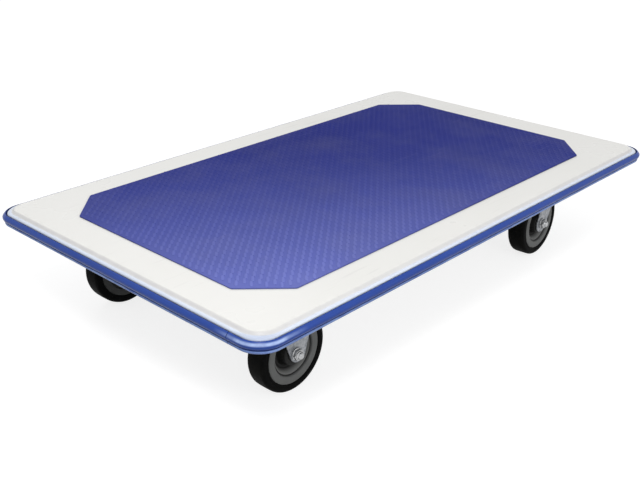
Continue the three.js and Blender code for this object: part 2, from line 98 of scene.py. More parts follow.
def shares(steps: int) -> list[float]:
    """Returns the shares from 0 to 1 at the ends of equal steps."""
    return [step / steps for step in range(steps + 1)]


def within(value: float) -> float:
    """Returns a value kept from 0 to 1."""
    return max(0.0, min(1.0, value))


def smoothstep(share: float) -> float:
    """Returns a share from 0 to 1, eased at both ends."""
    return share * share * (3 - 2 * share)


def circle(radius: float, level: float, sides: int = 36) -> Loop:
    """Makes a level circle about Z, anticlockwise."""
    angles = [2 * math.pi * i / sides for i in range(sides)]
    return [Vector((radius * math.cos(a), radius * math.sin(a), level)) for a in angles]


def hexagon(apothem: float, limit: float, level: float, samples: int = 36) -> Loop:
    """Makes a hexagon whose corners are rounded off at a limiting radius, as on a chamfered nut.

    Args:
        apothem: Half the width across flats.
        limit: The largest radius that the corners may have.
        level: The loop's height.
        samples: The number of points, a multiple of six.

    Returns:
        The points, anticlockwise.
    """
    sector = math.pi / 3
    loop = []
    for i in range(samples):
        angle = 2 * math.pi * i / samples
        radius = min(apothem / math.cos(angle % sector - sector / 2), limit)
        loop.append(Vector((radius * math.cos(angle), radius * math.sin(angle), level)))
    return loop


def threads(radius: float, start: float, end: float, depth: float) -> list[Loop]:
    """Makes the loops of a thread, as closed grooves.

    Args:
        radius: The radius over the thread.
        start: Where the thread starts.
        end: Where it ends.
        depth: How deep the grooves are.

    Returns:
        The loops, from start to end.
    """
    loops = [circle(radius, start)]
    for i in range(int((end - start) // THREAD_PITCH)):
        level = start + (i + 0.5) * THREAD_PITCH
        loops.append(circle(radius - depth, level))
        loops.append(circle(radius, level + THREAD_PITCH / 2))
    return loops


def round_corners(length: float, width: float, radius: float, steps: int) -> list[tuple[Vector, Vector]]:
    """Walks round the corners of a rounded rectangle about the origin.

    Args:
        length: The size along X.
        width: The size along Y.
        radius: The corner radius.
        steps: The number of steps in each corner.

    Returns:
        Each place with its outward direction, anticlockwise from the corner at -X and -Y.
    """
    stations = []
    for quarter, (along_x, along_y) in enumerate(((-1, -1), (1, -1), (1, 1), (-1, 1))):
        centre = Vector((along_x * (length / 2 - radius), along_y * (width / 2 - radius)))
        for share in shares(steps):
            angle = math.pi + (quarter + share) * math.pi / 2
            outward = Vector((math.cos(angle), math.sin(angle)))
            stations.append((centre + radius * outward, outward))
    return stations


def rounded_rectangle(length: float, width: float, radius: float, level: float, steps: int) -> Loop:
    """Makes a level rounded rectangle about the origin."""
    corners = round_corners(length, width, radius, steps)
    return [place.to_3d() + Vector((0, 0, level)) for place, _ in corners]


def softened(outline: list[Point], radius: float, steps: int) -> list[Point]:
    """Rounds every corner of a closed outline.

    Args:
        outline: The corners in order.
        radius: How far from a corner its rounding starts, at most 45 percent of an edge.
        steps: The number of steps in each rounding.

    Returns:
        The rounded outline.
    """
    corners = [Vector(point) for point in outline]
    soft = []
    for i, corner in enumerate(corners):
        back = corners[i - 1] - corner
        ahead = corners[(i + 1) % len(corners)] - corner
        reach = min(radius, 0.45 * back.length, 0.45 * ahead.length)
        start = corner + reach * back.normalized()
        end = corner + reach * ahead.normalized()
        for share in shares(steps):
            spot = start.lerp(corner, share).lerp(corner.lerp(end, share), share)
            soft.append((spot.x, spot.y))
    return soft


def curve_through(points: list[Point], steps: int) -> list[Point]:
    """Leads a smooth curve through points, with so many steps between two of them."""
    spots = [Vector(point) for point in points]
    ends = [2 * spots[0] - spots[1]] + spots + [2 * spots[-1] - spots[-2]]
    curve = []
    for i in range(1, len(ends) - 2):
        before, start, end, after = ends[i - 1 : i + 3]
        for t in shares(steps)[:-1]:
            spot = 0.5 * (
                2 * start
                + (end - before) * t
                + (2 * before - 5 * start + 4 * end - after) * t**2
                + (3 * start - before - 3 * end + after) * t**3
            )
            curve.append((spot.x, spot.y))
    return curve + [tuple(points[-1])]


def moved(x: float = 0, y: float = 0, z: float = 0) -> Matrix:
    """Returns the matrix of a shift."""
    return Matrix.Translation((x, y, z))


def turned_about(axis: str, angle: float) -> Matrix:
    """Returns the matrix of a turn about an axis through the origin, in radians."""
    return Matrix.Rotation(angle, 4, axis)


ALONG_Y = turned_about("X", -math.pi / 2)


def new_object(name: str, data: bpy.types.ID) -> bpy.types.Object:
    """Makes an object and puts it in the scene."""
    made = bpy.data.objects.new(name, data)
    bpy.context.scene.collection.objects.link(made)
    return made


def smooth(mesh: bpy.types.Mesh) -> None:
    """Shades a mesh smooth and keeps its hard edges sharp."""
    mesh.shade_smooth()
    mesh.set_sharp_from_angle(angle=SHARP_ANGLE)


class Shell:
    """A mesh in the making, in millimetres, as one or more closed skins."""

    def __init__(self) -> None:
        """Starts with no points and no faces."""
        self.points: list[Vector] = []
        self.faces: list[list[int]] = []
        self.soil: list[float] = []

    def skin(
        self,
        loops: list[Loop],
        place: Matrix | None = None,
        ring: bool = False,
        soil: list[float] | None = None,
    ) -> "Shell":
        """Joins loops of equal count into a closed skin.

        Args:
            loops: The loops, from one end to the other.
            place: Where the skin goes.
            ring: True joins the last loop to the first. Otherwise each end gets a cap.
            soil: The share of dirt and painted light on each loop, zero where it isn't given.

        Returns:
            The shell itself.
        """
        start = len(self.points)
        count = len(loops[0])
        matrix = place or Matrix()
        for level, loop in enumerate(loops):
            self.points += [matrix @ point for point in loop]
            self.soil += [soil[level] if soil else 0.0] * count
        for level in range(len(loops) if ring else len(loops) - 1):
            here = start + level * count
            beyond = start + ((level + 1) % len(loops)) * count
            for i in range(count):
                j = (i + 1) % count
                self.faces.append([here + i, here + j, beyond + j, beyond + i])
        if not ring:
            last = start + (len(loops) - 1) * count
            self.faces.append([start + i for i in reversed(range(count))])
            self.faces.append([last + i for i in range(count)])
        return self

    def turned(self, profile: list[Point], segments: int, place: Matrix | None = None) -> "Shell":
        """Turns a closed profile, pairs of radius and height, about Z into a ring."""
        loops = []
        for i in range(segments):
            angle = 2 * math.pi * i / segments
            ray = Vector((math.cos(angle), math.sin(angle), 0))
            loops.append([radius * ray + Vector((0, 0, height)) for radius, height in profile])
        return self.skin(loops, place, ring=True)

    def make(self, name: str) -> bpy.types.Object:
        """Makes the object, in metres, smooth but for its sharp edges."""
        mesh = bpy.data.meshes.new(name)
        mesh.from_pydata([MM * point for point in self.points], [], self.faces)
        mesh.attributes.new(DIRT_AND_PAINTED_LIGHT, "FLOAT", "POINT").data.foreach_set("value", self.soil)
        work = bmesh.new()
        work.from_mesh(mesh)
        bmesh.ops.remove_doubles(work, verts=work.verts, dist=MERGE_DISTANCE)
        bmesh.ops.recalc_face_normals(work, faces=work.faces)
        work.to_mesh(mesh)
        work.free()
        smooth(mesh)
        return new_object(name, mesh)


# Node trees


class Graph:
    """Adds and links the nodes of one node tree."""

    def __init__(self, tree: bpy.types.NodeTree) -> None:
        """Keeps the tree that the nodes go into."""
        self.tree = tree

    def give(self, node: bpy.types.Node, key: str | int, value: object) -> None:
        """Gives a node's input its value, or links it where the value is a socket."""
        if isinstance(value, Socket):
            self.tree.links.new(value, node.inputs[key])
        else:
            node.inputs[key].default_value = value

    def add(self, kind: str, inputs: dict | None = None, **settings: object) -> bpy.types.Node:
        """Adds a node.

        Args:
            kind: The node's type.
            inputs: Its inputs by name or number, each a value or a socket to link.
            settings: Its other properties.

        Returns:
            The node.
        """
        node = self.tree.nodes.new(kind)
        for name, value in settings.items():
            setattr(node, name, value)
        for key, value in (inputs or {}).items():
            self.give(node, key, value)
        return node

    def math(self, operation: str, first: object, second: object = 0.0) -> Socket:
        """Adds a sum, product or other operation and returns its result."""
        return self.add("ShaderNodeMath", {0: first, 1: second}, operation=operation).outputs[0]

    def times(self, *factors: object) -> Socket:
        """Adds the product of factors, from the first to the last."""
        return reduce(lambda first, second: self.math("MULTIPLY", first, second), factors)

    def plus(self, *terms: object) -> Socket:
        """Adds the sum of terms, from the first to the last."""
        return reduce(lambda first, second: self.math("ADD", first, second), terms)

    def above_zero(self, value: object, factor: float = 1.0) -> Socket:
        """Adds a product that is zero where it would be less."""
        return self.math("MAXIMUM", self.times(value, factor), 0.0)

    def parts(self, vector: Socket) -> tuple[Socket, ...]:
        """Returns the three parts of a vector."""
        return tuple(self.add("ShaderNodeSeparateXYZ", {0: vector}).outputs)

    def vector(self, x: object = 0.0, y: object = 0.0, z: object = 0.0) -> Socket:
        """Returns the vector of three parts."""
        return self.add("ShaderNodeCombineXYZ", {"X": x, "Y": y, "Z": z}).outputs[0]

    def span(self, value: object, low: float, high: float, start: float = 0, end: float = 1) -> Socket:
        """Maps a value from one span to another.

        Args:
            value: The value or its socket.
            low: Where the first span starts.
            high: Where it ends.
            start: The result at its start.
            end: The result at its end.

        Returns:
            The result, kept within the second span.
        """
        inputs = {"Value": value, "From Min": low, "From Max": high, "To Min": start, "To Max": end}
        return self.add("ShaderNodeMapRange", inputs).outputs["Result"]

    def layers(self, base: object, *layers: tuple) -> Socket:
        """Lays colours over a base.

        Args:
            base: The lowest colour or its socket.
            layers: Each a share, a colour and, where it isn't MIX, the way of mixing.

        Returns:
            The mixed colour.
        """
        for share, colour, *way in layers:
            node = self.add("ShaderNodeMix", data_type="RGBA", blend_type=way[0] if way else "MIX")
            for key, value in ((0, share), (6, base), (7, colour)):
                self.give(node, key, value)
            base = node.outputs[2]
        return base

    def place(self, turn: Triple = (0, 0, 0), scale: Triple = (1, 1, 1)) -> Socket:
        """Returns the object's coordinates, turned and stretched."""
        where = self.add("ShaderNodeTexCoord").outputs["Object"]
        return self.add("ShaderNodeMapping", {"Vector": where, "Rotation": turn, "Scale": scale}).outputs[0]

    def noise(self, where: Socket, scale: object, detail: float, rough: float) -> Socket:
        """Adds noise and returns its value, from 0 to 1.

        Args:
            where: The coordinates.
            scale: The number of waves in a metre.
            detail: The number of finer layers.
            rough: How strong the finer layers are.

        Returns:
            The noise.
        """
        inputs = {"Vector": where, "Scale": scale, "Detail": detail, "Roughness": rough}
        return self.add("ShaderNodeTexNoise", inputs).outputs[0]

    def cloud(
        self,
        scale: object,
        detail: float,
        rough: float,
        low: float,
        high: float,
        least: float = 0,
        turn: Triple = (0, 0, 0),
        stretch: Triple = (1, 1, 1),
    ) -> Socket:
        """Adds noise as soft patches.

        Args:
            scale: The number of waves in a metre.
            detail: The number of finer layers.
            rough: How strong the finer layers are.
            low: The noise at which a patch starts.
            high: The noise from which it is full.
            least: The result between the patches.
            turn: The turn of the coordinates.
            stretch: Their scale along each axis.

        Returns:
            The patches, 1 where they are full.
        """
        return self.span(self.noise(self.place(turn, stretch), scale, detail, rough), low, high, least, 1)

    def put_out(self, results: dict[str, Socket]) -> bpy.types.NodeTree:
        """Links results to the outputs of a group and returns its tree."""
        self.add("NodeGroupOutput", results)
        return self.tree


def cleared(owner: bpy.types.Material | bpy.types.World) -> Graph:
    """Returns the empty graph of a material or a world."""
    owner.use_nodes = True
    owner.node_tree.nodes.clear()
    return Graph(owner.node_tree)


def new_group(
    name: str, kind: str, inputs: dict[str, tuple], outputs: dict[str, str]
) -> tuple[Graph, bpy.types.NodeOutputs]:
    """Starts a node group.

    Args:
        name: The group's name.
        kind: The type of its tree.
        inputs: Each input's socket type and default value.
        outputs: Each output's socket type.

    Returns:
        The group's graph and the sockets of its inputs.
    """
    tree = bpy.data.node_groups.new(name, kind)
    for label, (socket, value) in inputs.items():
        made = tree.interface.new_socket(name=label, in_out="INPUT", socket_type=socket)
        if value is not None:
            made.default_value = value
    for label, socket in outputs.items():
        tree.interface.new_socket(name=label, in_out="OUTPUT", socket_type=socket)
    graph = Graph(tree)
    return graph, graph.add("NodeGroupInput").outputs


class Effects:
    """The effects that several finishes share, each a shader node group made once."""

    def __init__(self) -> None:
        """Makes the groups."""
        self.groups = {
            "tone": self._tone(),
            "wear": self._wear(),
            "dust": self._dust(),
            "scratches": self._scratches(),
        }

    def _start(
        self, name: str, outputs: tuple[str, ...] = ("Mask",), **inputs: float
    ) -> tuple[Graph, bpy.types.NodeOutputs]:
        """Starts a group of numbers, its inputs given with underscores for spaces."""
        number = "NodeSocketFloat"
        given = {label.replace("_", " "): (number, value) for label, value in inputs.items()}
        return new_group(name, "ShaderNodeTree", given, {label: number for label in outputs})

    def _tone(self) -> bpy.types.NodeTree:
        """Makes the slow change of tone and the fine grain of a surface."""
        graph, given = self._start("surface_tone", ("Patches", "Grain"), Patch_Scale=8.0, Grain_Scale=900.0)
        patches = graph.cloud(given["Patch Scale"], 4, 0.6, 0.3, 0.7)
        return graph.put_out(
            {"Patches": patches, "Grain": graph.noise(graph.place(), given["Grain Scale"], 2, 0.5)}
        )

    def _wear(self) -> bpy.types.NodeTree:
        """Makes the mask of rubbed outer edges."""
        graph, given = self._start("edge_wear", Reach=0.5, Break_Scale=120.0)
        ridge = graph.span(graph.add("ShaderNodeNewGeometry").outputs["Pointiness"], 0.505, 0.56)
        gaps = graph.cloud(given["Break Scale"], 4, 0.6, 0.35, 0.65)
        return graph.put_out({"Mask": graph.times(ridge, gaps, given["Reach"])})

    def _dust(self) -> bpy.types.NodeTree:
        """Makes the mask of dust that has settled on what faces up."""
        graph, given = self._start("settled_dust", Amount=0.3, Patch_Scale=14.0)
        up = graph.parts(graph.add("ShaderNodeNewGeometry").outputs["Normal"])[2]
        patches = graph.cloud(given["Patch Scale"], 5, 0.65, 0.4, 0.75)
        return graph.put_out({"Mask": graph.times(graph.span(up, 0.1, 0.9, 0.15), patches, given["Amount"])})

    def _scratches(self) -> bpy.types.NodeTree:
        """Makes the mask of fine scratches in two directions."""
        graph, given = self._start("fine_scratches", Scale=20.0, Amount=0.5)
        lines = [
            graph.cloud(given["Scale"], 2, 0.4, 0.66, 0.72, turn=(0, 0, turn), stretch=(1, stretch, 1))
            for turn, stretch in ((0.5, 24.0), (-1.1, 17.0))
        ]
        rubbed = graph.cloud(5.0, 3, 0.5, 0.45, 0.65)
        return graph.put_out({"Mask": graph.times(graph.math("MAXIMUM", *lines), rubbed, given["Amount"])})


class Surface(Graph):
    """The graph of one material, with its Principled shader and the shared effects."""

    def __init__(self, name: str, sockets: dict[str, object], effects: Effects) -> None:
        """Makes the material.

        Args:
            name: The material's name.
            sockets: The values that the shader has all over.
            effects: The shared node groups.
        """
        self.material = bpy.data.materials.new(name)
        super().__init__(cleared(self.material).tree)
        self.effects = effects
        self.shader = self.add("ShaderNodeBsdfPrincipled", sockets)
        self.add("ShaderNodeOutputMaterial", {"Surface": self.shader.outputs[0]})

    def _effect(self, name: str, **inputs: float) -> bpy.types.NodeOutputs:
        """Places a shared effect, its inputs given with underscores for spaces."""
        values = {label.replace("_", " "): value for label, value in inputs.items()}
        return self.add("ShaderNodeGroup", values, node_tree=self.effects.groups[name]).outputs

    def mask(self, name: str, **inputs: float) -> Socket:
        """Returns the mask of a shared effect."""
        return self._effect(name, **inputs)["Mask"]

    def tone(self, patch_scale: float, grain_scale: float) -> tuple[Socket, Socket]:
        """Returns the slow patches and the fine grain of the surface."""
        made = self._effect("tone", Patch_Scale=patch_scale, Grain_Scale=grain_scale)
        return made["Patches"], made["Grain"]

    def spot(self) -> tuple[Socket, ...]:
        """Returns the object's coordinates, one by one."""
        return self.parts(self.add("ShaderNodeTexCoord").outputs["Object"])

    def soil(self) -> Socket:
        """Returns the attribute that carries dirt, dust and painted shade, below zero where a painted
        highlight is.
        """
        return self.add("ShaderNodeAttribute", attribute_name=DIRT_AND_PAINTED_LIGHT).outputs["Fac"]

    def finish(self, base: Socket, rough: Socket, relief: Socket, depth: float, strength: float) -> None:
        """Ends the material.

        Args:
            base: Its colour.
            rough: Its roughness.
            relief: Its relief, from 0 to 1.
            depth: The relief's depth in metres.
            strength: The relief's strength.
        """
        bump = self.add("ShaderNodeBump", {"Height": relief, "Distance": depth, "Strength": strength})
        for name, socket in (("Base Color", base), ("Roughness", rough), ("Normal", bump.outputs[0])):
            self.give(self.shader, name, socket)


def grey(level: float) -> Colour:
    """Returns a neutral colour."""
    return (level, level, level, 1.0)


@dataclass(frozen=True)
class Finish:
    """A finish: the colour and the sockets that its surface has all over."""

    name: str
    colour: Colour
    shader: dict[str, object] = field(default_factory=dict)

    def material(self, effects: Effects) -> bpy.types.Material:
        """Makes the material with the shared node groups."""
        surface = Surface(self.name, {"Base Color": self.colour, **self.shader}, effects)
        self.dress(surface)
        return surface.material

    def dress(self, on: Surface) -> None:
        """Adds the changes over the surface. Each finish has its own."""


@dataclass(frozen=True)
class DeckEnamel(Finish):
    """White gloss enamel on pressed sheet, with a painted bluish reflection on its lip, painted shade in the
    step and fine scratches.
    """

    yellowed: Colour = (0.865, 0.86, 0.83, 1)
    # painted reflection: a bluish tint on the rolled lip and the skirt
    lip: Colour = (0.76, 0.83, 0.96, 1)
    # painted shade on the lip and step at the near corner
    dull_lip: Colour = (0.76, 0.78, 0.84, 1)
    # painted shade, broken into patches, in the step and on the skirt behind the bumper
    dirt: Colour = (0.69, 0.685, 0.69, 1)
    scratch: Colour = (0.62, 0.61, 0.6, 1)
    worn: Colour = (0.70, 0.69, 0.66, 1)

    def dress(self, on: Surface) -> None:
        """Adds orange peel, slow tone, the painted reflection on the lip, painted shade at the near corner
        and in the step, and scratches.
        """
        patches, grain = on.tone(5.0, 260.0)
        lines = on.mask("scratches", Scale=9.0, Amount=0.5)
        x, y, z = on.spot()
        near_corner = on.span(on.plus(x, y), -0.755, -0.782)
        base = on.layers(
            self.colour,
            (patches, self.yellowed),
            # painted reflection on the lip
            (on.span(z, 0.1769, 0.1775, 1, 0), self.lip),
            # painted shade at the near corner
            (on.times(near_corner, on.span(z, 0.1792, 0.1770)), self.dull_lip, "MULTIPLY"),
            # painted shade in the step
            (on.times(on.soil(), on.cloud(38.0, 5, 0.65, 0.25, 0.7, 0.55)), self.dirt),
            (on.times(lines, 0.35), self.scratch),
            (on.mask("wear", Reach=0.35, Break_Scale=90.0), self.worn),
        )
        rough = on.plus(on.span(patches, 0, 1, 0.24, 0.34), on.times(lines, 0.2))
        on.finish(base, rough, grain, 0.00003, 0.35)


@dataclass(frozen=True)
class MatVinyl(Finish):
    """Blue embossed vinyl, with a painted sheen that grows towards the near end, painted highlights on its
    raised pellets and painted shade along its cut edge.
    """

    # painted sheen, strongest at the near end
    pale: Colour = (0.160, 0.190, 0.57, 1)
    # painted highlight on the pellet tops
    top_gain: Colour = (1.55, 1.5, 1.3, 1)
    scratch: Colour = (0.16, 0.17, 0.42, 1)
    dust: Colour = (0.30, 0.29, 0.33, 1)
    # painted shade on the mat's cut edge
    cut_edge: Colour = (0.012, 0.012, 0.05, 1)

    def dress(self, on: Surface) -> None:
        """Adds leather grain, the painted sheen, painted highlights on the pellet tops, scratches, dust and
        painted shade on the cut edge.
        """
        patches, grain = on.tone(4.0, 700.0)
        x, y, z = on.spot()
        top = on.span(z, 0.18245, 0.1829)
        slant = on.plus(x, on.times(y, 1.35))
        base = on.layers(
            self.colour,
            # painted sheen towards the near end
            (on.math("POWER", on.span(slant, 0.58, -0.66), 2.3), self.pale),
            (patches, grey(0.86), "MULTIPLY"),
            # painted highlight on the pellet tops, stronger towards the near end
            (on.times(top, on.span(slant, 0.05, -0.40, 0.14, 0.44)), self.top_gain, "MULTIPLY"),
            (on.times(on.mask("scratches", Scale=7.0, Amount=0.5), 0.25), self.scratch),
            (on.mask("dust", Amount=0.10, Patch_Scale=9.0), self.dust),
            # painted shade on the cut edge
            (on.times(on.soil(), 0.45), self.cut_edge),
        )
        cells = on.add("ShaderNodeTexVoronoi", {"Vector": on.place(), "Scale": 900.0}, feature="SMOOTH_F1")
        relief = on.plus(on.times(cells.outputs["Distance"], 0.7), grain)
        rough = on.math("SUBTRACT", on.span(grain, 0.3, 0.7, 0.42, 0.6), on.times(top, 0.07))
        on.finish(base, rough, relief, 0.00012, 0.5)


@dataclass(frozen=True)
class BumperVinyl(Finish):
    """Glossy blue extruded vinyl with faint draw lines, painted highlights on its lower bead and round the
    near corner, and painted shade in its grooves.
    """

    deep: Colour = (0.024, 0.064, 0.32, 1)
    draw_line: Colour = (0.08, 0.14, 0.46, 1)
    dust: Colour = (0.30, 0.31, 0.36, 1)
    # painted highlight on the lower bead
    bead: Colour = (0.26, 0.38, 0.74, 1)
    # painted highlight on the upper ridge round the near corner
    rubbed: Colour = (0.52, 0.66, 1.0, 1)
    # painted shade in the grooves
    dirt: Colour = (0.008, 0.014, 0.06, 1)

    def dress(self, on: Surface) -> None:
        """Adds slow tone, draw lines, dust, the painted highlights broken into patches, the painted shade
        and the waviness of an extrusion.
        """
        patches, _ = on.tone(7.0, 500.0)
        drawn = on.cloud(7.0, 3, 0.6, 0.35, 0.7, stretch=(1, 1, 60))
        height = on.spot()[2]
        bead = on.times(on.span(height, 0.1614, 0.1620, 1, 0), on.span(height, 0.1580, 0.1590))
        gaps = on.cloud(34.0, 4, 0.6, 0.3, 0.6, 0.35)
        soil = on.soil()
        dirt = on.above_zero(soil)
        base = on.layers(
            self.colour,
            (patches, self.deep),
            (on.times(drawn, 0.12), self.draw_line),
            (on.mask("dust", Amount=0.03, Patch_Scale=20.0), self.dust),
            # painted highlight on the lower bead
            (on.times(bead, gaps), self.bead),
            # painted highlight round the near corner
            (on.times(on.above_zero(soil, -1.0), gaps), self.rubbed),
            # painted shade in the grooves
            (on.times(dirt, 0.85), self.dirt),
        )
        rough = on.plus(on.span(patches, 0, 1, 0.17, 0.26), on.times(dirt, 0.4), on.times(drawn, 0.05))
        waves = on.noise(on.place(scale=(1, 1, 2)), 70.0, 3, 0.5)
        on.finish(base, rough, waves, 0.0004, 0.18)


@dataclass(frozen=True)
class PrimerPaint(Finish):
    """Grey primer paint on folded sheet, dusty and worn along its bends."""

    darker: Colour = (0.29, 0.30, 0.31, 1)
    worn: Colour = (0.50, 0.50, 0.50, 1)
    dust: Colour = (0.42, 0.39, 0.35, 1)

    def dress(self, on: Surface) -> None:
        """Adds spray grain, wear along the bends and dust."""
        patches, grain = on.tone(11.0, 600.0)
        base = on.layers(
            self.colour,
            (patches, self.darker),
            (on.mask("wear", Reach=0.6, Break_Scale=140.0), self.worn),
            (on.mask("dust", Amount=0.25, Patch_Scale=18.0), self.dust),
        )
        on.finish(base, on.span(grain, 0.3, 0.7, 0.42, 0.60), grain, 0.00006, 0.4)


@dataclass(frozen=True)
class Plating(Finish):
    """Plated or bare steel: its spangle, its bright rubbed edges and its grime."""

    duller: Colour = grey(0.42)
    spangle: float = 170.0
    smoothest: float = 0.30
    roughest: float = 0.46
    grime: float = 0.2
    worn: Colour = (0.46, 0.47, 0.49, 1)
    dust: Colour = (0.20, 0.18, 0.16, 1)

    def dress(self, on: Surface) -> None:
        """Adds crystals in the plating, rubbed edges, scratches and grime."""
        patches, grain = on.tone(26.0, 1100.0)
        lines = on.mask("scratches", Scale=30.0, Amount=0.4)
        dust = on.mask("dust", Amount=self.grime, Patch_Scale=40.0)
        cells = on.add("ShaderNodeTexVoronoi", {"Vector": on.place(), "Scale": self.spangle})
        crystal = on.parts(cells.outputs["Color"])[0]
        mixed = on.span(on.plus(crystal, patches), 0, 2, 0.25, 0.75)
        base = on.layers(
            self.colour,
            (mixed, self.duller),
            (on.mask("wear", Reach=0.7, Break_Scale=200.0), self.worn),
            (dust, self.dust),
        )
        rough = on.plus(on.span(mixed, 0, 1, self.smoothest, self.roughest), on.times(lines, 0.12))
        on.give(on.shader, "Metallic", on.math("SUBTRACT", 1.0, on.times(dust, 0.8)))
        on.finish(base, rough, grain, 0.00002, 0.4)


@dataclass(frozen=True)
class HubNylon(Finish):
    """Dark grey moulded nylon, with a painted highlight on the cone of its outer face and painted shade in
    its recess, groove and inner face.
    """

    deep: Colour = (0.155, 0.158, 0.156, 1)
    worn: Colour = (0.19, 0.19, 0.185, 1)
    dust: Colour = (0.20, 0.18, 0.15, 1)
    # painted highlight on the cone of the outer face
    rubbed: Colour = (0.30, 0.305, 0.30, 1)
    # painted shade in the recess, the groove and on the inner face
    grime: Colour = (0.005, 0.005, 0.005, 1)

    def dress(self, on: Surface) -> None:
        """Adds moulding texture, pale worn edges, dust, the painted highlight and the painted shade."""
        patches, grain = on.tone(30.0, 1200.0)
        soil = on.soil()
        base = on.layers(
            self.colour,
            (patches, self.deep),
            (on.mask("wear", Reach=0.5, Break_Scale=150.0), self.worn),
            (on.mask("dust", Amount=0.2, Patch_Scale=45.0), self.dust),
            # painted highlight on the cone
            (on.above_zero(soil, -1.0), self.rubbed),
            # painted shade
            (on.above_zero(soil, 0.95), self.grime),
        )
        on.finish(base, on.span(grain, 0.3, 0.7, 0.42, 0.58), grain, 0.00008, 0.35)


@dataclass(frozen=True)
class TyreRubber(Finish):
    """Black rubber with a bloom of dust, most of it on the tread."""

    paler: Colour = (0.0075, 0.0075, 0.0075, 1)
    dust: Colour = (0.026, 0.025, 0.023, 1)

    def dress(self, on: Surface) -> None:
        """Adds fine pores, tread dust and scuffs."""
        patches, grain = on.tone(24.0, 1500.0)
        bloom = on.times(on.soil(), on.cloud(60.0, 5, 0.7, 0.4, 0.75), 0.35)
        base = on.layers(self.colour, (patches, self.paler), (bloom, self.dust))
        rough = on.plus(on.span(patches, 0, 1, 0.50, 0.66), on.times(bloom, 0.5))
        on.finish(base, rough, grain, 0.0001, 0.4)


METAL = {"Metallic": 1.0}
FINISHES: dict[Slot, Finish] = {
    Slot.DECK_PAINT: DeckEnamel(
        "deck enamel",
        (0.885, 0.88, 0.855, 1),
        {"Specular IOR Level": 0.14, "Coat Weight": 0.05, "Coat Roughness": 0.12},
    ),
    Slot.MAT: MatVinyl("mat vinyl", (0.0205, 0.030, 0.23, 1), {"Specular IOR Level": 0.015}),
    Slot.BUMPER: BumperVinyl("bumper vinyl", (0.029, 0.078, 0.37, 1), {"Specular IOR Level": 0.13}),
    Slot.UNDERFRAME: PrimerPaint("underframe primer", (0.35, 0.36, 0.37, 1)),
    Slot.ZINC: Plating(
        "zinc plating", (0.21, 0.225, 0.245, 1), METAL, (0.14, 0.15, 0.165, 1), smoothest=0.42, roughest=0.56
    ),
    Slot.FASTENERS: Plating(
        "bright zinc", (0.50, 0.51, 0.52, 1), METAL, grey(0.40), 320.0, 0.34, 0.46, 0.12
    ),
    Slot.BEARINGS: Plating(
        "greased steel", (0.48, 0.48, 0.48, 1), METAL, grey(0.34), 420.0, 0.18, 0.32, 0.35
    ),
    Slot.HUB: HubNylon("hub nylon", (0.185, 0.190, 0.187, 1), {"Specular IOR Level": 0.12}),
    Slot.TYRE: TyreRubber("tyre rubber", (0.0034, 0.0037, 0.0038, 1), {"Specular IOR Level": 0.02}),
}


# Geometry Nodes


class NodesTree:
    """What the two Geometry Nodes trees share: their last nodes, and running one on a mesh."""

    GEOMETRY: ClassVar[str] = "NodeSocketGeometry"
    NUMBER: ClassVar[str] = "NodeSocketFloat"
    WHOLE: ClassVar[str] = "NodeSocketInt"

    def start(self, name: str, inputs: dict[str, tuple]) -> None:
        """Starts the tree with its own inputs, besides its points, its shape and its finish."""
        self.graph, self.given = new_group(
            name,
            "GeometryNodeTree",
            {
                "Points": (self.GEOMETRY, None),
                "Shape": ("NodeSocketObject", None),
                "Finish": ("NodeSocketMaterial", None),
                **inputs,
            },
            {"Geometry": self.GEOMETRY},
        )

    def random(self, least: object, most: object) -> Socket:
        """Returns a number between two limits, another for each point."""
        inputs = {2: least, 3: most, "Seed": self.given["Seed"]}
        return self.graph.add("FunctionNodeRandomValue", inputs, data_type="FLOAT").outputs[1]

    def end(self, points: Socket, turn: Socket, size: Socket) -> None:
        """Sets a copy of the shape on each point and gives the copies their finish.

        Args:
            points: The points.
            turn: Each copy's turn about Z.
            size: Each copy's size.
        """
        graph = self.graph
        shape = graph.add("GeometryNodeObjectInfo", {"Object": self.given["Shape"]}).outputs["Geometry"]
        spread = {"Points": points, "Instance": shape, "Rotation": graph.vector(z=turn), "Scale": size}
        copies = graph.add("GeometryNodeInstanceOnPoints", spread)
        real = graph.add("GeometryNodeRealizeInstances", {"Geometry": copies.outputs[0]})
        dress = {"Geometry": real.outputs[0], "Material": self.given["Finish"]}
        graph.put_out({"Geometry": graph.add("GeometryNodeSetMaterial", dress).outputs[0]})

    def run(self, name: str, start: bpy.types.Mesh, values: dict[str, object]) -> bpy.types.Object:
        """Runs the tree on a mesh, keeps the result as a plain mesh and removes the shape.

        Args:
            name: The new object's name.
            start: The mesh that the tree starts from.
            values: The tree's inputs by name.

        Returns:
            The new object.
        """
        carrier = new_object(name + "_carrier", start)
        modifier = carrier.modifiers.new("nodes", "NODES")
        modifier.node_group = self.graph.tree
        for item in self.graph.tree.interface.items_tree:
            if item.item_type == "SOCKET" and item.in_out == "INPUT" and item.name in values:
                modifier[item.identifier] = values[item.name]
        depsgraph = bpy.context.evaluated_depsgraph_get()
        mesh = bpy.data.meshes.new_from_object(carrier.evaluated_get(depsgraph))
        mesh.name = name
        bpy.data.objects.remove(carrier)
        smooth(mesh)
        bpy.data.objects.remove(values["Shape"])
        return new_object(name, mesh)


class CopyTree(NodesTree):
    """A tree that sets a copy of one shape on each point of a mesh, turned as the point says."""

    def __init__(self) -> None:
        """Makes the tree."""
        self.start("copies_on_points", {"Size Change": (self.NUMBER, 0.0), "Seed": (self.WHOLE, 7)})
        turn = self.graph.add("GeometryNodeInputNamedAttribute", {"Name": TURN}, data_type="FLOAT")
        least = self.graph.math("SUBTRACT", 1.0, self.given["Size Change"])
        self.end(self.given["Points"], turn.outputs["Attribute"], self.random(least, 1.0))


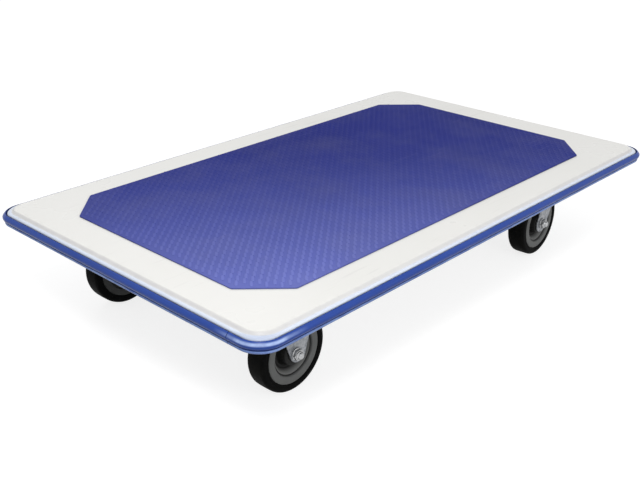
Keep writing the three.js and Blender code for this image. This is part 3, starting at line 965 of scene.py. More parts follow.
class PelletTree(NodesTree):
    """A tree that fills a sheet with cut corners with rows of raised pellets."""

    NUMBERS: ClassVar[tuple[str, ...]] = (
        "Pitch",
        "Row Spacing",
        "Row Angle",
        "Half Length",
        "Half Width",
        "Corner Reach",
        "Middle",
        "Level",
        "Least Size",
    )

    def __init__(self) -> None:
        """Makes the tree."""
        numbers = {name: (self.NUMBER, None) for name in self.NUMBERS}
        wholes = {name: (self.WHOLE, None) for name in ("Columns", "Rows", "Seed")}
        self.start("rows_of_pellets", numbers | wholes)
        kept = self._within_sheet(self._lattice())
        size = self.graph.vector(self.random(self.given["Least Size"], 1.0), 1.0, 1.0)
        self.end(kept, self.given["Row Angle"], size)

    def _lattice(self) -> Socket:
        """Makes the rows, every second one shifted by half a pitch, turned to their angle."""
        graph, given = self.graph, self.given
        pitch, spacing = given["Pitch"], given["Row Spacing"]
        grid = graph.add(
            "GeometryNodeMeshGrid",
            {
                "Size X": graph.times(graph.math("SUBTRACT", given["Columns"], 1), pitch),
                "Size Y": graph.times(graph.math("SUBTRACT", given["Rows"], 1), spacing),
                "Vertices X": given["Columns"],
                "Vertices Y": given["Rows"],
            },
        )
        y = graph.parts(graph.add("GeometryNodeInputPosition").outputs[0])[1]
        odd = graph.math("FLOORED_MODULO", graph.math("ROUND", graph.math("DIVIDE", y, spacing)), 2.0)
        offset = graph.vector(graph.times(odd, graph.times(pitch, 0.5)))
        rows = graph.add("GeometryNodeSetPosition", {"Geometry": grid.outputs["Mesh"], "Offset": offset})
        turned = graph.add(
            "GeometryNodeTransform",
            {
                "Geometry": rows.outputs[0],
                "Translation": graph.vector(x=given["Middle"], z=given["Level"]),
                "Rotation": graph.vector(z=given["Row Angle"]),
            },
        )
        return turned.outputs[0]

    def _within_sheet(self, lattice: Socket) -> Socket:
        """Drops the points that lie outside the sheet's outline."""
        graph, given = self.graph, self.given
        x, y, _ = graph.parts(graph.add("GeometryNodeInputPosition").outputs[0])
        along = graph.math("ABSOLUTE", graph.math("SUBTRACT", x, given["Middle"]))
        across = graph.math("ABSOLUTE", y)
        over = [
            graph.math("GREATER_THAN", reach, given[limit])
            for reach, limit in (
                (along, "Half Length"),
                (across, "Half Width"),
                (graph.plus(along, across), "Corner Reach"),
            )
        ]
        outside = reduce(lambda first, second: graph.math("MAXIMUM", first, second), over)
        inputs = {"Geometry": lattice, "Selection": outside}
        return graph.add("GeometryNodeDeleteGeometry", inputs, domain="POINT").outputs[0]


@dataclass
class Workshop:
    """What every sub-assembly needs: the materials and the trees."""

    materials: dict[Slot, bpy.types.Material]
    copies: CopyTree
    pellets: PelletTree

    def deliver(self, piece: bpy.types.Object, body: str, slot: Slot, *nodes: str) -> None:
        """Dresses a piece and puts it on its body.

        Args:
            piece: The piece.
            body: The body that it moves with.
            slot: The record's slot that it takes its finish from.
            nodes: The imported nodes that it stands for.
        """
        piece.data.materials.clear()
        piece.data.materials.append(self.materials[slot])
        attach(piece, body)
        if nodes:
            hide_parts(*nodes)
        LOG.info("%s: %d faces, on %s", piece.name, len(piece.data.polygons), body)

    def give(self, shell: Shell, prefix: str, label: str, node: str, body: str, slot: Slot) -> None:
        """Makes and delivers a piece that carries its caster's name.

        Args:
            shell: The piece's shape.
            prefix: The caster's name.
            label: The rest of the piece's name.
            node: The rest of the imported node's name.
            body: The body that the piece moves with.
            slot: The record's slot that it takes its finish from.
        """
        self.deliver(shell.make(f"{prefix}_{label}"), body, slot, f"{prefix}_{node}")

    def set_out(
        self,
        name: str,
        shape: bpy.types.Object,
        places: list[tuple[Vector, float]],
        body: str,
        slot: Slot,
        *nodes: str,
        size_change: float = 0.0,
    ) -> None:
        """Sets copies of a shape on places and delivers them as one piece.

        Args:
            name: The piece's name.
            shape: The shape, in metres about the origin.
            places: Each copy's place in millimetres and its turn about Z.
            body: The body that the piece moves with.
            slot: The record's slot that it takes its finish from.
            nodes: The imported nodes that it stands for.
            size_change: The largest share by which a copy is smaller.
        """
        mesh = bpy.data.meshes.new(name + "_points")
        mesh.from_pydata([MM * place for place, _ in places], [], [])
        mesh.attributes.new(TURN, "FLOAT", "POINT").data.foreach_set("value", [turn for _, turn in places])
        values = {"Shape": shape, "Size Change": size_change, "Finish": self.materials[slot]}
        self.deliver(self.copies.run(name, mesh, values), body, slot, *nodes)


# The levels and sizes that sub-assemblies share


@dataclass(frozen=True)
class Levels:
    """Heights above the floor."""

    axle: float = 62.5
    kingpin_end: float = 135.5
    kingpin_nut: float = 137.4
    crown_bottom: float = 143.4
    crown_top: float = 146.9
    land_bottom: float = 145.7
    land_top: float = 149.2
    dish_bottom: float = 149.5
    crown_rim: float = 152.5
    kingpin_head: float = 153.3
    plate_bottom: float = 154.5
    plate_top: float = 158.0
    channel_bottom: float = 158.3
    channel_top: float = 178.3
    skirt_bottom: float = 158.6
    lip_top: float = 177.6
    pan_underside: float = 178.6
    plateau_top: float = 180.6
    mat_bottom: float = 180.9
    mat_top: float = 182.9


LEVELS = Levels()


@dataclass
class Deck:
    """The pressed pan, its mat and the bumper round it."""

    shop: Workshop
    length: float = 1000
    width: float = 600
    sheet: float = 2
    skirt_corner: float = 30
    lip_corner: float = 36
    tightening: float = 1.5
    lip_drop: float = 0.8
    rim_reach: float = 1.6
    bend: float = 3
    step_start: float = 1.7
    step_end: float = 9.1
    corner_steps: int = 18
    near_border: float = 65
    far_border: float = 71
    side_border: float = 61
    corner_cut: float = 62
    pellet_height: float = 0.6
    pellet_half_length: float = 7.9
    pellet_half_width: float = 3.4
    pellet_skew: float = 0.15
    pellet_margin: float = 6.5
    pellet_pitch: float = 14.6
    row_spacing: float = 10.3
    row_angle: float = math.radians(39.5)
    bumper_depth: float = 10
    bumper_bottom: float = 157.1
    bumper_top: float = 176.1
    longest_span: float = 24
    waviness: float = 0.35
    # reach and fade of the painted highlight round the near corner
    rub_reach: float = 64
    rub_fade: float = 34
    butt_place: float = -250
    butt_gap: float = 1
    bumper_outline: tuple[Point, ...] = (
        (0.44, 0), (0.60, 0.02), (0.71, 0.09), (0.73, 0.17), (0.68, 0.24), (0.56, 0.285), (0.69, 0.33),
        (0.87, 0.40), (0.97, 0.50), (1, 0.605), (0.96, 0.71), (0.80, 0.81), (0.63, 0.90), (0.52, 0.94),
        (0.43, 0.93), (0.36, 0.86), (0.28, 0.79), (0.16, 0.765), (0.04, 0.765),
    )

    def build(self) -> None:
        """Builds and dresses the pan, the mat with its pellets, and the bumper."""
        self._pan()
        self._mat()
        self._pellets()
        self._bumper()

    def _top_radius(self, inset: float) -> float:
        """Returns the corner radius of the pan's top, so far in from the skirt's face."""
        return max(self.lip_corner - self.tightening * (inset + self.rim_reach - self.bend), 8)

    def _step(self, share: float, shift: float = 0.0, drop: float = 0.0) -> Point:
        """Returns the inset and level of a place on the soft step, from the lip to the plateau."""
        lip = LEVELS.lip_top - self.lip_drop
        inset = self.step_start + shift + share * (self.step_end - self.step_start)
        return inset, lip - drop + (LEVELS.plateau_top - lip) * smoothstep(share)

    def _pan(self) -> None:
        """Makes the pan from its underside round the skirt to its plateau: inset, level, radius and painted
        shade.
        """
        lip, foot, steps = LEVELS.lip_top - self.lip_drop, LEVELS.skirt_bottom, shares(8)
        corner, sheet, top = self.skirt_corner, self.sheet, self._top_radius
        # the last value in each row is painted shade: a little under the pan, more up the skirt behind the
        # bumper, most in the soft step
        rows = [(inset, LEVELS.pan_underside, top(inset), 0.1) for inset in (120, 40)]
        under = [self._step(1 - share, sheet * 0.3, sheet) for share in steps]
        rows += [(inset, level, top(inset), 0.1) for inset, level in under]
        rows += [
            (sheet + 0.2, lip - sheet, self.lip_corner, 0.1),
            (sheet, lip - self.bend, corner - sheet, 0.1),
            (sheet, foot + 0.5, corner - sheet, 0.2),
            (1.5, foot, corner - 1.5, 0.4),
            (0.5, foot, corner - 0.5, 0.4),
            (0.0, foot + 0.5, corner, 0.2),
            (0.0, lip - self.bend - 1.8, corner, 0.6),
            (-0.3 * self.rim_reach, lip - self.bend - 1.2, corner, 0.5),
        ]
        for share in steps:
            angle = (share - 0.2 * (1 - share)) * math.pi / 2
            inset = self.bend * (1 - math.cos(angle)) - self.rim_reach
            level = lip - self.bend * (1 - math.sin(angle))
            rows.append((inset, level, corner + share * (self.lip_corner - corner), 0.0))
        for share in steps:
            inset, level = self._step(share)
            rows.append((inset, level, top(inset), math.sin(math.pi * share) ** 0.7))
        rows += [(inset, LEVELS.plateau_top, top(inset), 0.0) for inset in (self.step_end + 4, 40, 120)]
        loops = [
            rounded_rectangle(
                self.length - 2 * inset, self.width - 2 * inset, radius, level, self.corner_steps
            )
            for inset, level, radius, _ in rows
        ]
        shell = Shell().skin(loops, soil=[soil for *_, soil in rows])
        self.shop.deliver(shell.make("enamelled_pan"), "deck", Slot.DECK_PAINT, "deck_pan")

    def _mat_frame(self) -> Triple:
        """Returns the mat's middle along X and its half sizes."""
        half = (self.length - self.near_border - self.far_border) / 2
        return (self.near_border - self.far_border) / 2, half, self.width / 2 - self.side_border

    def _mat_loop(self, inset: float, level: float) -> Loop:
        """Makes the mat's outline, drawn in by an inset."""
        middle, half, side = self._mat_frame()
        half, side = half - inset, side - inset
        cut = self.corner_cut - inset * (2 - math.sqrt(2))
        corners = [
            (-half + cut, -side),
            (half - cut, -side),
            (half, -side + cut),
            (half, side - cut),
            (half - cut, side),
            (-half + cut, side),
            (-half, side - cut),
            (-half, -side + cut),
        ]
        return [Vector((middle + x, y, level)) for x, y in softened(corners, 3.0, 4)]

    def _mat(self) -> None:
        """Makes the sheet of the mat, its upper edge rounded a little: inset, level and painted shade on the
        cut edge.
        """
        bottom, top = LEVELS.mat_bottom, LEVELS.mat_top - self.pellet_height
        # the last value in each row is painted shade on the cut edge
        rows = [
            (0.3, bottom, 1.0),
            (0.0, bottom + 0.3, 1.0),
            (0.0, top - 0.4, 1.0),
            (0.15, top - 0.12, 0.7),
            (0.45, top, 0.25),
            (1.6, top, 0.0),
        ]
        shell = Shell().skin([self._mat_loop(i, z) for i, z, _ in rows], soil=[s for *_, s in rows])
        self.shop.deliver(shell.make("vinyl_mat"), "deck", Slot.MAT, "deck_mat")

    def _pellet(self) -> bpy.types.Object:
        """Makes one raised pellet, a long low lozenge with soft sides."""
        quarter = ((1, 0.62), (0.5, 0.95))
        upper = [*quarter, *((-x, y) for x, y in reversed(quarter))]
        corners = upper + [(x, -y) for x, y in reversed(upper)]
        loops = []
        for length, width, level in ((1.0, 1.0, -0.25), (0.98, 0.7, 0.36), (0.95, 0.34, self.pellet_height)):
            loop = []
            for along, across in corners:
                x = length * self.pellet_half_length * along
                y = width * self.pellet_half_width * across + self.pellet_skew * x
                loop.append(Vector((x, y, level)))
            loops.append(loop)
        return Shell().skin(loops).make("pellet")

    def _pellets(self) -> None:
        """Sets the pellets out in slanting rows over the mat."""
        middle, half, side = self._mat_frame()
        margin = self.pellet_margin
        values = {
            "Shape": self._pellet(),
            "Pitch": MM * self.pellet_pitch,
            "Row Spacing": MM * self.row_spacing,
            "Row Angle": self.row_angle,
            "Columns": 69,
            "Rows": 95,
            "Half Length": MM * (half - margin),
            "Half Width": MM * (side - margin),
            "Corner Reach": MM * (half + side - self.corner_cut - margin * math.sqrt(2)),
            "Middle": MM * middle,
            "Level": MM * (LEVELS.mat_top - self.pellet_height),
            "Least Size": 0.97,
            "Seed": 11,
            "Finish": self.shop.materials[Slot.MAT],
        }
        rows = self.shop.pellets.run("mat_pellets", bpy.data.meshes.new("mat_start"), values)
        self.shop.deliver(rows, "deck", Slot.MAT)

    def _bumper_soil(self, spot: Point, highlight: float) -> float:
        """Returns the share of painted light at a place on the section.

        Args:
            spot: The place, out from the skirt and up.
            highlight: How strong the painted highlight on the upper ridge is here.

        Returns:
            The share: painted shade, most in the two grooves, and below zero for the painted highlight on
                the upper ridge.
        """
        out, height = spot
        share = (height - self.bumper_bottom) / (self.bumper_top - self.bumper_bottom)
        upper = within(5.2 - out) if share > 0.7 else 0.0
        lower = max(0.0, 1 - abs(share - 0.285) / 0.05) if out > 5 else 0.0
        ridge = max(0.0, 1 - abs(share - 0.76) / 0.13) if out > 5.6 else 0.0
        return max(upper, 0.8 * lower) - highlight * min(1.0, 1.5 * ridge)

    def _rub(self, place: Vector) -> float:
        """Returns how strong the painted highlight on the strip is at a place: most at the near corner."""
        corner = Vector((-self.length / 2, -self.width / 2))
        return 0.85 * within((self.rub_reach - (place - corner).length) / self.rub_fade)

    def _bumper_section(self) -> list[Point]:
        """Returns the bumper's section, out from the skirt and up."""
        gap, leg, slot_floor = 0.3, 1.5, LEVELS.skirt_bottom - 0.3
        height = self.bumper_top - self.bumper_bottom
        outline = [(x * self.bumper_depth, self.bumper_bottom + z * height) for x, z in self.bumper_outline]
        slot_back, leg_top = -self.sheet - gap, slot_floor + 6.3
        return curve_through(outline, 4) + [
            (gap, slot_floor),
            (slot_back, slot_floor),
            (slot_back, leg_top),
            (slot_back - leg, leg_top),
            (slot_back - leg, self.bumper_bottom),
        ]

    def _bumper_stations(self) -> list[tuple[Vector, Vector]]:
        """Returns the places on the skirt's face that the section is led through, with their outsides."""
        face, toward_near = -self.length / 2, Vector((-1, 0))
        before, after = (
            (Vector((face, self.butt_place + way * self.butt_gap / 2)), toward_near) for way in WAYS
        )
        stations = round_corners(self.length, self.width, self.skirt_corner, self.corner_steps)
        filled = [before]
        for place, outward in [*stations, after]:
            last, last_outward = filled[-1]
            extra = int((place - last).length // self.longest_span)
            for share in shares(extra + 1)[1:-1]:
                filled.append((last.lerp(place, share), last_outward.lerp(outward, share).normalized()))
            filled.append((place, outward))
        return filled

    def _bumper(self) -> None:
        """Leads the section round the skirt, slightly wavy as fitted vinyl is."""
        section = self._bumper_section()
        loops, soil = [], []
        travelled = 0.0
        last = None
        for place, outward in self._bumper_stations():
            travelled += (place - last).length if last else 0.0
            last = place
            wave = 0.5 + 0.25 * math.sin(travelled / 41) + 0.25 * math.sin(travelled / 17 + 1.3)
            loop = []
            for out, height in section:
                pull = self.waviness * wave * max(0.0, out) / self.bumper_depth
                spot = place + (out - pull) * outward
                loop.append(Vector((spot.x, spot.y, height)))
            loops.append(loop)
            # painted highlight on the upper ridge, strongest at the near corner
            highlight = self._rub(place)
            # painted shade in the grooves, painted highlight on the ridge
            soil += [self._bumper_soil(spot, highlight) for spot in section]
        shell = Shell().skin(loops)
        shell.soil = soil
        self.shop.deliver(shell.make("vinyl_bumper"), "deck", Slot.BUMPER, "bumper_strip")


@dataclass
class Underframe:
    """The two cross channels, the two stiffeners, their weld nuts and spot welds."""

    shop: Workshop
    fixed_x: float = -353
    fixed_y: float = 196
    kingpin_x: float = 335
    kingpin_y: float = 199
    bolt_half_length: float = 40
    bolt_half_width: float = 30
    web: float = 104
    flange: float = 18
    sheet: float = 2
    channel_half_length: float = 279.8
    stiffener_web: float = 60
    stiffener_flange: float = 15
    stiffener_depth: float = 15
    stiffener_y: float = 122
    stiffener_gap: float = 2
    weld_pitch: float = 62
    nut_apothem: float = 6.5
    nut_height: float = 6.5
    nut_bore: float = 4.4

    def build(self) -> None:
        """Builds and dresses the channels, stiffeners, weld nuts and spot welds."""
        self._channels()
        self._stiffeners()
        self._weld_nuts()
        self._spot_welds()

    def bolt_spots(self, level: float) -> list[tuple[str, Vector]]:
        """Returns each caster bolt's node with its place at a level."""
        x, y = self.bolt_half_length, self.bolt_half_width
        pattern = ((-x, -y), (-x, y), (x, -y), (x, y))
        casters = (("fixed", self.fixed_x, self.fixed_y), ("swivel", self.kingpin_x, self.kingpin_y))
        return [
            (f"{kind}_{side.word}_bolt_{number}", Vector((x + along, side.value * y + across, level)))
            for kind, x, y in casters
            for side in Side
            for number, (along, across) in enumerate(pattern, start=1)
        ]

    def _beam(self, name: str, node: str, hat: Triple, half: float, place: Matrix) -> None:
        """Makes a beam along Y with a hat section, open at the top.

        Args:
            name: The piece's name.
            node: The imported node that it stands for.
            hat: The section's web, flange and bottom.
            half: Half the beam's length.
            place: Where it goes.
        """
        web, flange, bottom = hat
        top, sheet, side = LEVELS.channel_top, self.sheet, web / 2
        right = [
            (side, bottom),
            (side, top - sheet),
            (side + flange, top - sheet),
            (side + flange, top),
            (side - sheet, top),
            (side - sheet, bottom + sheet),
        ]
        left = [(-x, z) for x, z in reversed(right)]
        section = softened(left[-1:] + right + left[:-1], 1.6, 4)
        loops = [[Vector((x, y, z)) for x, z in section] for y in (-half, half)]
        self.shop.deliver(Shell().skin(loops, place).make(name), "deck", Slot.UNDERFRAME, node)

    def _channels(self) -> None:
        """Makes the two cross channels."""
        hat = (self.web, self.flange, LEVELS.channel_bottom)
        for name, x in (("fixed_end", self.fixed_x), ("swivel_end", self.kingpin_x)):
            self._beam(f"{name}_cross_channel", f"{name}_channel", hat, self.channel_half_length, moved(x))

    def _stiffeners(self) -> None:
        """Makes the two lengthways stiffeners."""
        reach = self.web / 2 + self.flange + self.stiffener_gap
        half = (self.kingpin_x - self.fixed_x) / 2 - reach
        middle = (self.kingpin_x + self.fixed_x) / 2
        hat = (self.stiffener_web, self.stiffener_flange, LEVELS.channel_top - self.stiffener_depth)
        for side in Side:
            place = moved(middle, side.value * self.stiffener_y) @ turned_about("Z", math.pi / 2)
            self._beam(f"{side.word}_long_stiffener", f"{side.word}_stiffener", hat, half, place)

    def _weld_nuts(self) -> None:
        """Makes the weld nuts inside the channels."""
        apothem, height, bore = self.nut_apothem, self.nut_height, self.nut_bore
        limit = apothem * 1.08
        loops = [
            hexagon(apothem, limit, 0.0),
            hexagon(apothem, 2 * apothem, 0.8),
            hexagon(apothem, 2 * apothem, height - 0.8),
            hexagon(apothem, limit, height),
            circle(bore + 0.5, height),
            circle(bore, height - 0.5),
            circle(bore, 0.5),
            circle(bore + 0.5, 0.0),
        ]
        nut = Shell().skin(loops, ring=True).make("weld_nut")
        spots = self.bolt_spots(LEVELS.channel_bottom + self.sheet)
        places = [(spot, 0.31 * i) for i, (_, spot) in enumerate(spots)]
        self.shop.set_out("weld_nuts", nut, places, "deck", Slot.UNDERFRAME)

    def _spot_welds(self) -> None:
        """Makes the spot welds along the flanges, low round dents with a raised rim."""
        rows = [(3.4, 0.25), (3.4, -0.02), (2.9, -0.22), (2.2, -0.18), (1.5, 0.02)]
        weld = Shell().skin([circle(radius, z, 16) for radius, z in rows]).make("spot_weld")
        level, steps = LEVELS.channel_top - self.sheet, range(-4, 5)
        middle = (self.kingpin_x + self.fixed_x) / 2
        across = self.web / 2 + self.flange / 2 + 0.5
        spots = [
            (x + way * across, i * self.weld_pitch)
            for x in (self.fixed_x, self.kingpin_x)
            for way in WAYS
            for i in steps
        ]
        across = self.stiffener_web / 2 + self.stiffener_flange / 2 + 0.5
        spots += [
            (middle + i * self.weld_pitch * 0.95, side.value * self.stiffener_y + way * across)
            for side in Side
            for way in WAYS
            for i in steps
        ]
        places = [(Vector((x, y, level)), 0.0) for x, y in spots]
        self.shop.set_out("spot_welds", weld, places, "deck", Slot.UNDERFRAME, size_change=0.15)


@dataclass
class PlateBolts:
    """The sixteen bolts that hold the four caster plates."""

    shop: Workshop
    underframe: Underframe
    apothem: float = 6.5
    head_height: float = 5.3
    shank: float = 4
    seat_gap: float = 0.3
    tail: float = 1.5

    def build(self) -> None:
        """Makes one bolt and sets copies of it in all the plates."""
        spots = self.underframe.bolt_spots(0)
        places = [(spot, 0.37 * i) for i, (_, spot) in enumerate(spots)]
        nodes = [node for node, _ in spots]
        self.shop.set_out("caster_bolts", self._bolt(), places, "deck", Slot.FASTENERS, *nodes)

    def _bolt(self) -> bpy.types.Object:
        """Makes one bolt: a chamfered head with a washer face and a threaded shank."""
        under = self.underframe
        top = LEVELS.plate_bottom - self.seat_gap
        bottom = top - self.head_height
        end = LEVELS.channel_bottom + under.sheet + under.nut_height + self.tail
        apothem = self.apothem
        loops = [
            hexagon(apothem * 0.35, apothem * 0.35, bottom + 0.45),
            hexagon(apothem * 0.62, apothem * 0.62, bottom + 0.15),
            hexagon(apothem, apothem * 0.94, bottom),
            hexagon(apothem, apothem * 1.06, bottom + 0.45),
            hexagon(apothem, 2 * apothem, bottom + 1.05),
            hexagon(apothem, 2 * apothem, top - 0.7),
            circle(apothem * 0.98, top - 0.6),
            circle(apothem * 0.98, top),
            circle(self.shank, top + 0.01),
            *threads(self.shank, top + 4.5, end - 0.8, 0.45),
            circle(self.shank - 0.7, end),
        ]
        return Shell().skin(loops).make("bolt")


def tube(inner: float, outer: float, half: float) -> list[Point]:
    """Returns the profile of a tube about the origin, its edges broken."""
    return softened([(inner, -half), (outer, -half), (outer, half), (inner, half)], 0.5, 3)


def mirrored(profile: list[Point]) -> list[Point]:
    """Returns half a profile followed by its mirror image in height."""
    return profile + [(radius, -height) for radius, height in reversed(profile)]


@dataclass
class Wheel:
    """A wheel with its bearing: tyre, hub and roller cage, turning about Y through its middle."""

    shop: Workshop
    radius: float = 62.5
    half_width: float = 16.5
    shoulder: float = 5.5
    rim_outer: float = 49.0
    rim_inner: float = 36
    rim_half: float = 16
    web_half: float = 3
    web_outer: float = 27
    boss: float = 19
    boss_half: float = 17
    bore: float = 10.6
    cage_inner: float = 8
    cage_outer: float = 10.3
    cage_half: float = 15
    segments: int = 96

    def build(self, prefix: str, body: str, place: Matrix) -> None:
        """Builds and dresses the wheel.

        Args:
            prefix: The caster's name.
            body: The wheel's body.
            place: The wheel's middle and its axle's direction.
        """
        cage = tube(self.cage_inner, self.cage_outer, self.cage_half)
        for node, label, profile, slot, soil in (
            ("tyre", "rubber_tyre", self._tyre(), Slot.TYRE, self._tread_soil),
            ("hub", "nylon_hub", self._hub(), Slot.HUB, self._recess_soil),
            ("roller_cage", "bearing_cage", cage, Slot.BEARINGS, lambda spot: 0.0),
        ):
            shell = Shell().turned(profile, self.segments, place @ ALONG_Y)
            shell.soil = [soil(spot) for spot in profile] * self.segments
            self.shop.give(shell, prefix, label, node, body, slot)

    def _tread_soil(self, spot: Point) -> float:
        """Returns the share of dust at a place on the tyre's profile."""
        return within((spot[0] - self.radius + 5) / 4)

    def _recess_soil(self, spot: Point) -> float:
        """Returns the share of painted light at a place on the hub's profile.

        Args:
            spot: The radius and the place along the axle, above zero on the inner face.

        Returns:
            The share of painted shade: most round the boss and web, much in the groove by the rim, some on
                the inner face; below zero for the painted highlight on the outer cone.
        """
        out, across = spot[0], abs(spot[1])
        # painted shade round the boss, in the groove and on the inner face
        if out < self.web_outer + 1:
            return 1.0
        if abs(out - self.rim_inner) < 1.2 and across < self.rim_half - 3.5:
            return 0.8
        if spot[1] > 0:
            return 0.62
        # painted highlight on the cone of the outer face
        return -0.5 if out < self.rim_inner else 0.0

    def _tyre(self) -> list[Point]:
        """Returns the tyre's profile: a nearly flat tread, round shoulders and a ring on each wall."""
        half, inner, outer = self.half_width, self.rim_outer + 0.3, self.radius
        upper = [
            (inner, half - 1.5),
            (inner + 0.5, half - 0.5),
            (inner + 1.5, half),
            (inner + 3.2, half),
            (inner + 3.6, half - 0.4),
            (inner + 4.3, half - 0.4),
            (inner + 4.7, half),
        ]
        for share in shares(10):
            angle = share * math.pi / 2
            radius = outer - 0.2 - self.shoulder * (1 - math.sin(angle))
            upper.append((radius, half - self.shoulder * (1 - math.cos(angle))))
        return mirrored([*upper, (outer - 0.06, 7.0), (outer, 3.0)])

    def _hub(self) -> list[Point]:
        """Returns the hub's profile: boss, web, cone, groove and rim, with moulded fillets."""
        boss, inner, outer, half = self.boss, self.rim_inner, self.rim_outer, self.rim_half
        upper = [
            (self.bore, self.boss_half - 1),
            (self.bore + 1, self.boss_half),
            (boss - 0.5, self.boss_half),
            (boss + 0.5, self.boss_half - 1),
            (boss + 2.5, self.web_half + 4),
            (boss + 4, self.web_half),
            (self.web_outer, self.web_half),
            (inner - 1.6, half - 3.2),
            (inner - 0.6, half - 4.4),
            (inner + 0.6, half - 4.4),
            (inner + 1.4, half - 1.0),
            (inner + 2.4, half),
            (outer - 1.6, half),
            (outer - 1.0, half - 0.5),
            (outer, half - 0.5),
        ]
        return softened(mirrored(upper), 1.4, 4)


@dataclass
class Axle:
    """The axle bolt with its nut, washer collar and spacer tube, along Y."""

    shop: Workshop
    radius: float = 5
    apothem: float = 8
    collar: float = 9.2
    leg_outer: float = 20.8
    head_height: float = 6.4
    nut_height: float = 8
    tail: float = 2.5
    seat_gap: float = 0.3
    sleeve_inner: float = 5.3
    sleeve_outer: float = 7.5
    sleeve_half: float = 17.5
    sleeve_segments: int = 48

    def build(self, prefix: str, body: str, place: Matrix) -> None:
        """Builds and dresses the axle, the nut and the sleeve.

        Args:
            prefix: The caster's name.
            body: The body that they move with.
            place: The wheel's middle and the axle's direction.
        """
        axis = place @ ALONG_Y
        sleeve = tube(self.sleeve_inner, self.sleeve_outer, self.sleeve_half)
        for shell, label, node, slot in (
            (Shell().skin(self._bolt(), axis), "axle_bolt", "axle", Slot.FASTENERS),
            (Shell().skin(self._nut(), axis, ring=True), "lock_nut", "axle_nut", Slot.FASTENERS),
            (Shell().turned(sleeve, self.sleeve_segments, axis), "spacer_tube", "sleeve", Slot.BEARINGS),
        ):
            self.shop.give(shell, prefix, label, node, body, slot)

    def _bolt(self) -> list[Loop]:
        """Returns the loops of the bolt, from its threaded end at -Y to its head."""
        face = self.leg_outer + self.seat_gap
        end = self.leg_outer + 2 * self.seat_gap + self.nut_height + self.tail
        top = face + self.head_height
        apothem = self.apothem
        return [
            circle(self.radius - 0.9, -end),
            *threads(self.radius, -end + 0.9, -end + 3.5, 0.5),
            circle(self.radius, face - 0.01),
            circle(apothem, face),
            circle(apothem, face + 0.6),
            hexagon(apothem, 2 * apothem, face + 0.75),
            hexagon(apothem, 2 * apothem, top - 1.2),
            hexagon(apothem, apothem * 1.06, top - 0.5),
            hexagon(apothem, apothem * 0.94, top),
            hexagon(apothem * 0.6, apothem * 0.6, top - 0.15),
            hexagon(apothem * 0.35, apothem * 0.35, top - 0.4),
        ]

    def _nut(self) -> list[Loop]:
        """Returns the loops of the nut: a washer collar, the hexagon and the locking ring."""
        near = -self.leg_outer - self.seat_gap
        far = near - self.nut_height
        apothem, bore = self.apothem, self.radius + 0.3
        return [
            circle(bore, near),
            circle(self.collar, near),
            circle(self.collar, near - 0.9),
            circle(self.collar - 0.7, near - 1.4),
            hexagon(apothem, 2 * apothem, near - 1.5),
            hexagon(apothem, 2 * apothem, far + 2.9),
            hexagon(apothem, apothem * 1.04, far + 2.2),
            circle(7.0, far + 2.0),
            circle(6.9, far + 0.9),
            circle(6.2, far + 0.15),
            circle(bore + 0.4, far),
            circle(bore, far + 0.6),
        ]


@dataclass
class Leg:
    """A leg of 3 mm sheet: straight at its top, narrowing to a round tip about the axle."""

    half_top: float
    top: float
    tip_x: float
    tip: float = 17
    half_sheet: float = 1.5
    edge: float = 0.45
    steps: int = 22

    def _outline(self, inset: float) -> list[Point]:
        """Returns the outline in X and Z, drawn in by an inset."""
        tip = self.tip - inset
        left, right, level = -self.half_top + inset, self.half_top - inset, self.top - inset
        rise = level - LEVELS.axle

        def tangent(reach: float) -> float:
            """Returns the angle of the tangent point for an edge that starts so far to the right."""
            return math.atan2(rise, reach) - math.acos(tip / math.hypot(reach, rise))

        start = math.pi - tangent(self.tip_x - left)
        sweep = tangent(right - self.tip_x) + 2 * math.pi - start
        outline = [(right, level), (left, level)]
        for share in shares(self.steps):
            angle = start + sweep * share
            outline.append((self.tip_x + tip * math.cos(angle), LEVELS.axle + tip * math.sin(angle)))
        return outline

    def add(self, shell: Shell, middle: float, place: Matrix) -> None:
        """Adds the leg with broken edges to a shell.

        Args:
            shell: The shell that gets the leg.
            middle: Where the middle of its thickness is along Y.
            place: The caster's place.
        """
        half, edge = self.half_sheet, self.edge
        rows = ((-half, edge), (edge - half, 0.0), (half - edge, 0.0), (half, edge))
        loops = [[Vector((x, middle + y, z)) for x, z in self._outline(inset)] for y, inset in rows]
        shell.skin(loops, place)


@dataclass
class Bead:
    """A weld bead along X, a rippled half-round line with tapering ends."""

    half: float
    level: float
    radius: float
    steps: int
    sides: int = 10

    def add(self, shell: Shell, across: float, place: Matrix) -> None:
        """Adds the bead to a shell.

        Args:
            shell: The shell that gets the bead.
            across: Where the bead is along Y.
            place: The caster's place.
        """
        angles = [2 * math.pi * j / self.sides for j in range(self.sides)]
        loops = []
        for i, share in enumerate(shares(self.steps)):
            taper = min(1.0, 6 * share, 6 * (1 - share)) ** 0.5
            size = self.radius * max(0.25, taper) * (1 + 0.10 * math.sin(2.4 * i))
            point = Vector((self.half * (2 * share - 1) * 0.97, across, self.level))
            loops.append([point + size * Vector((0, -math.cos(a), math.sin(a))) for a in angles])
        shell.skin(loops, place)


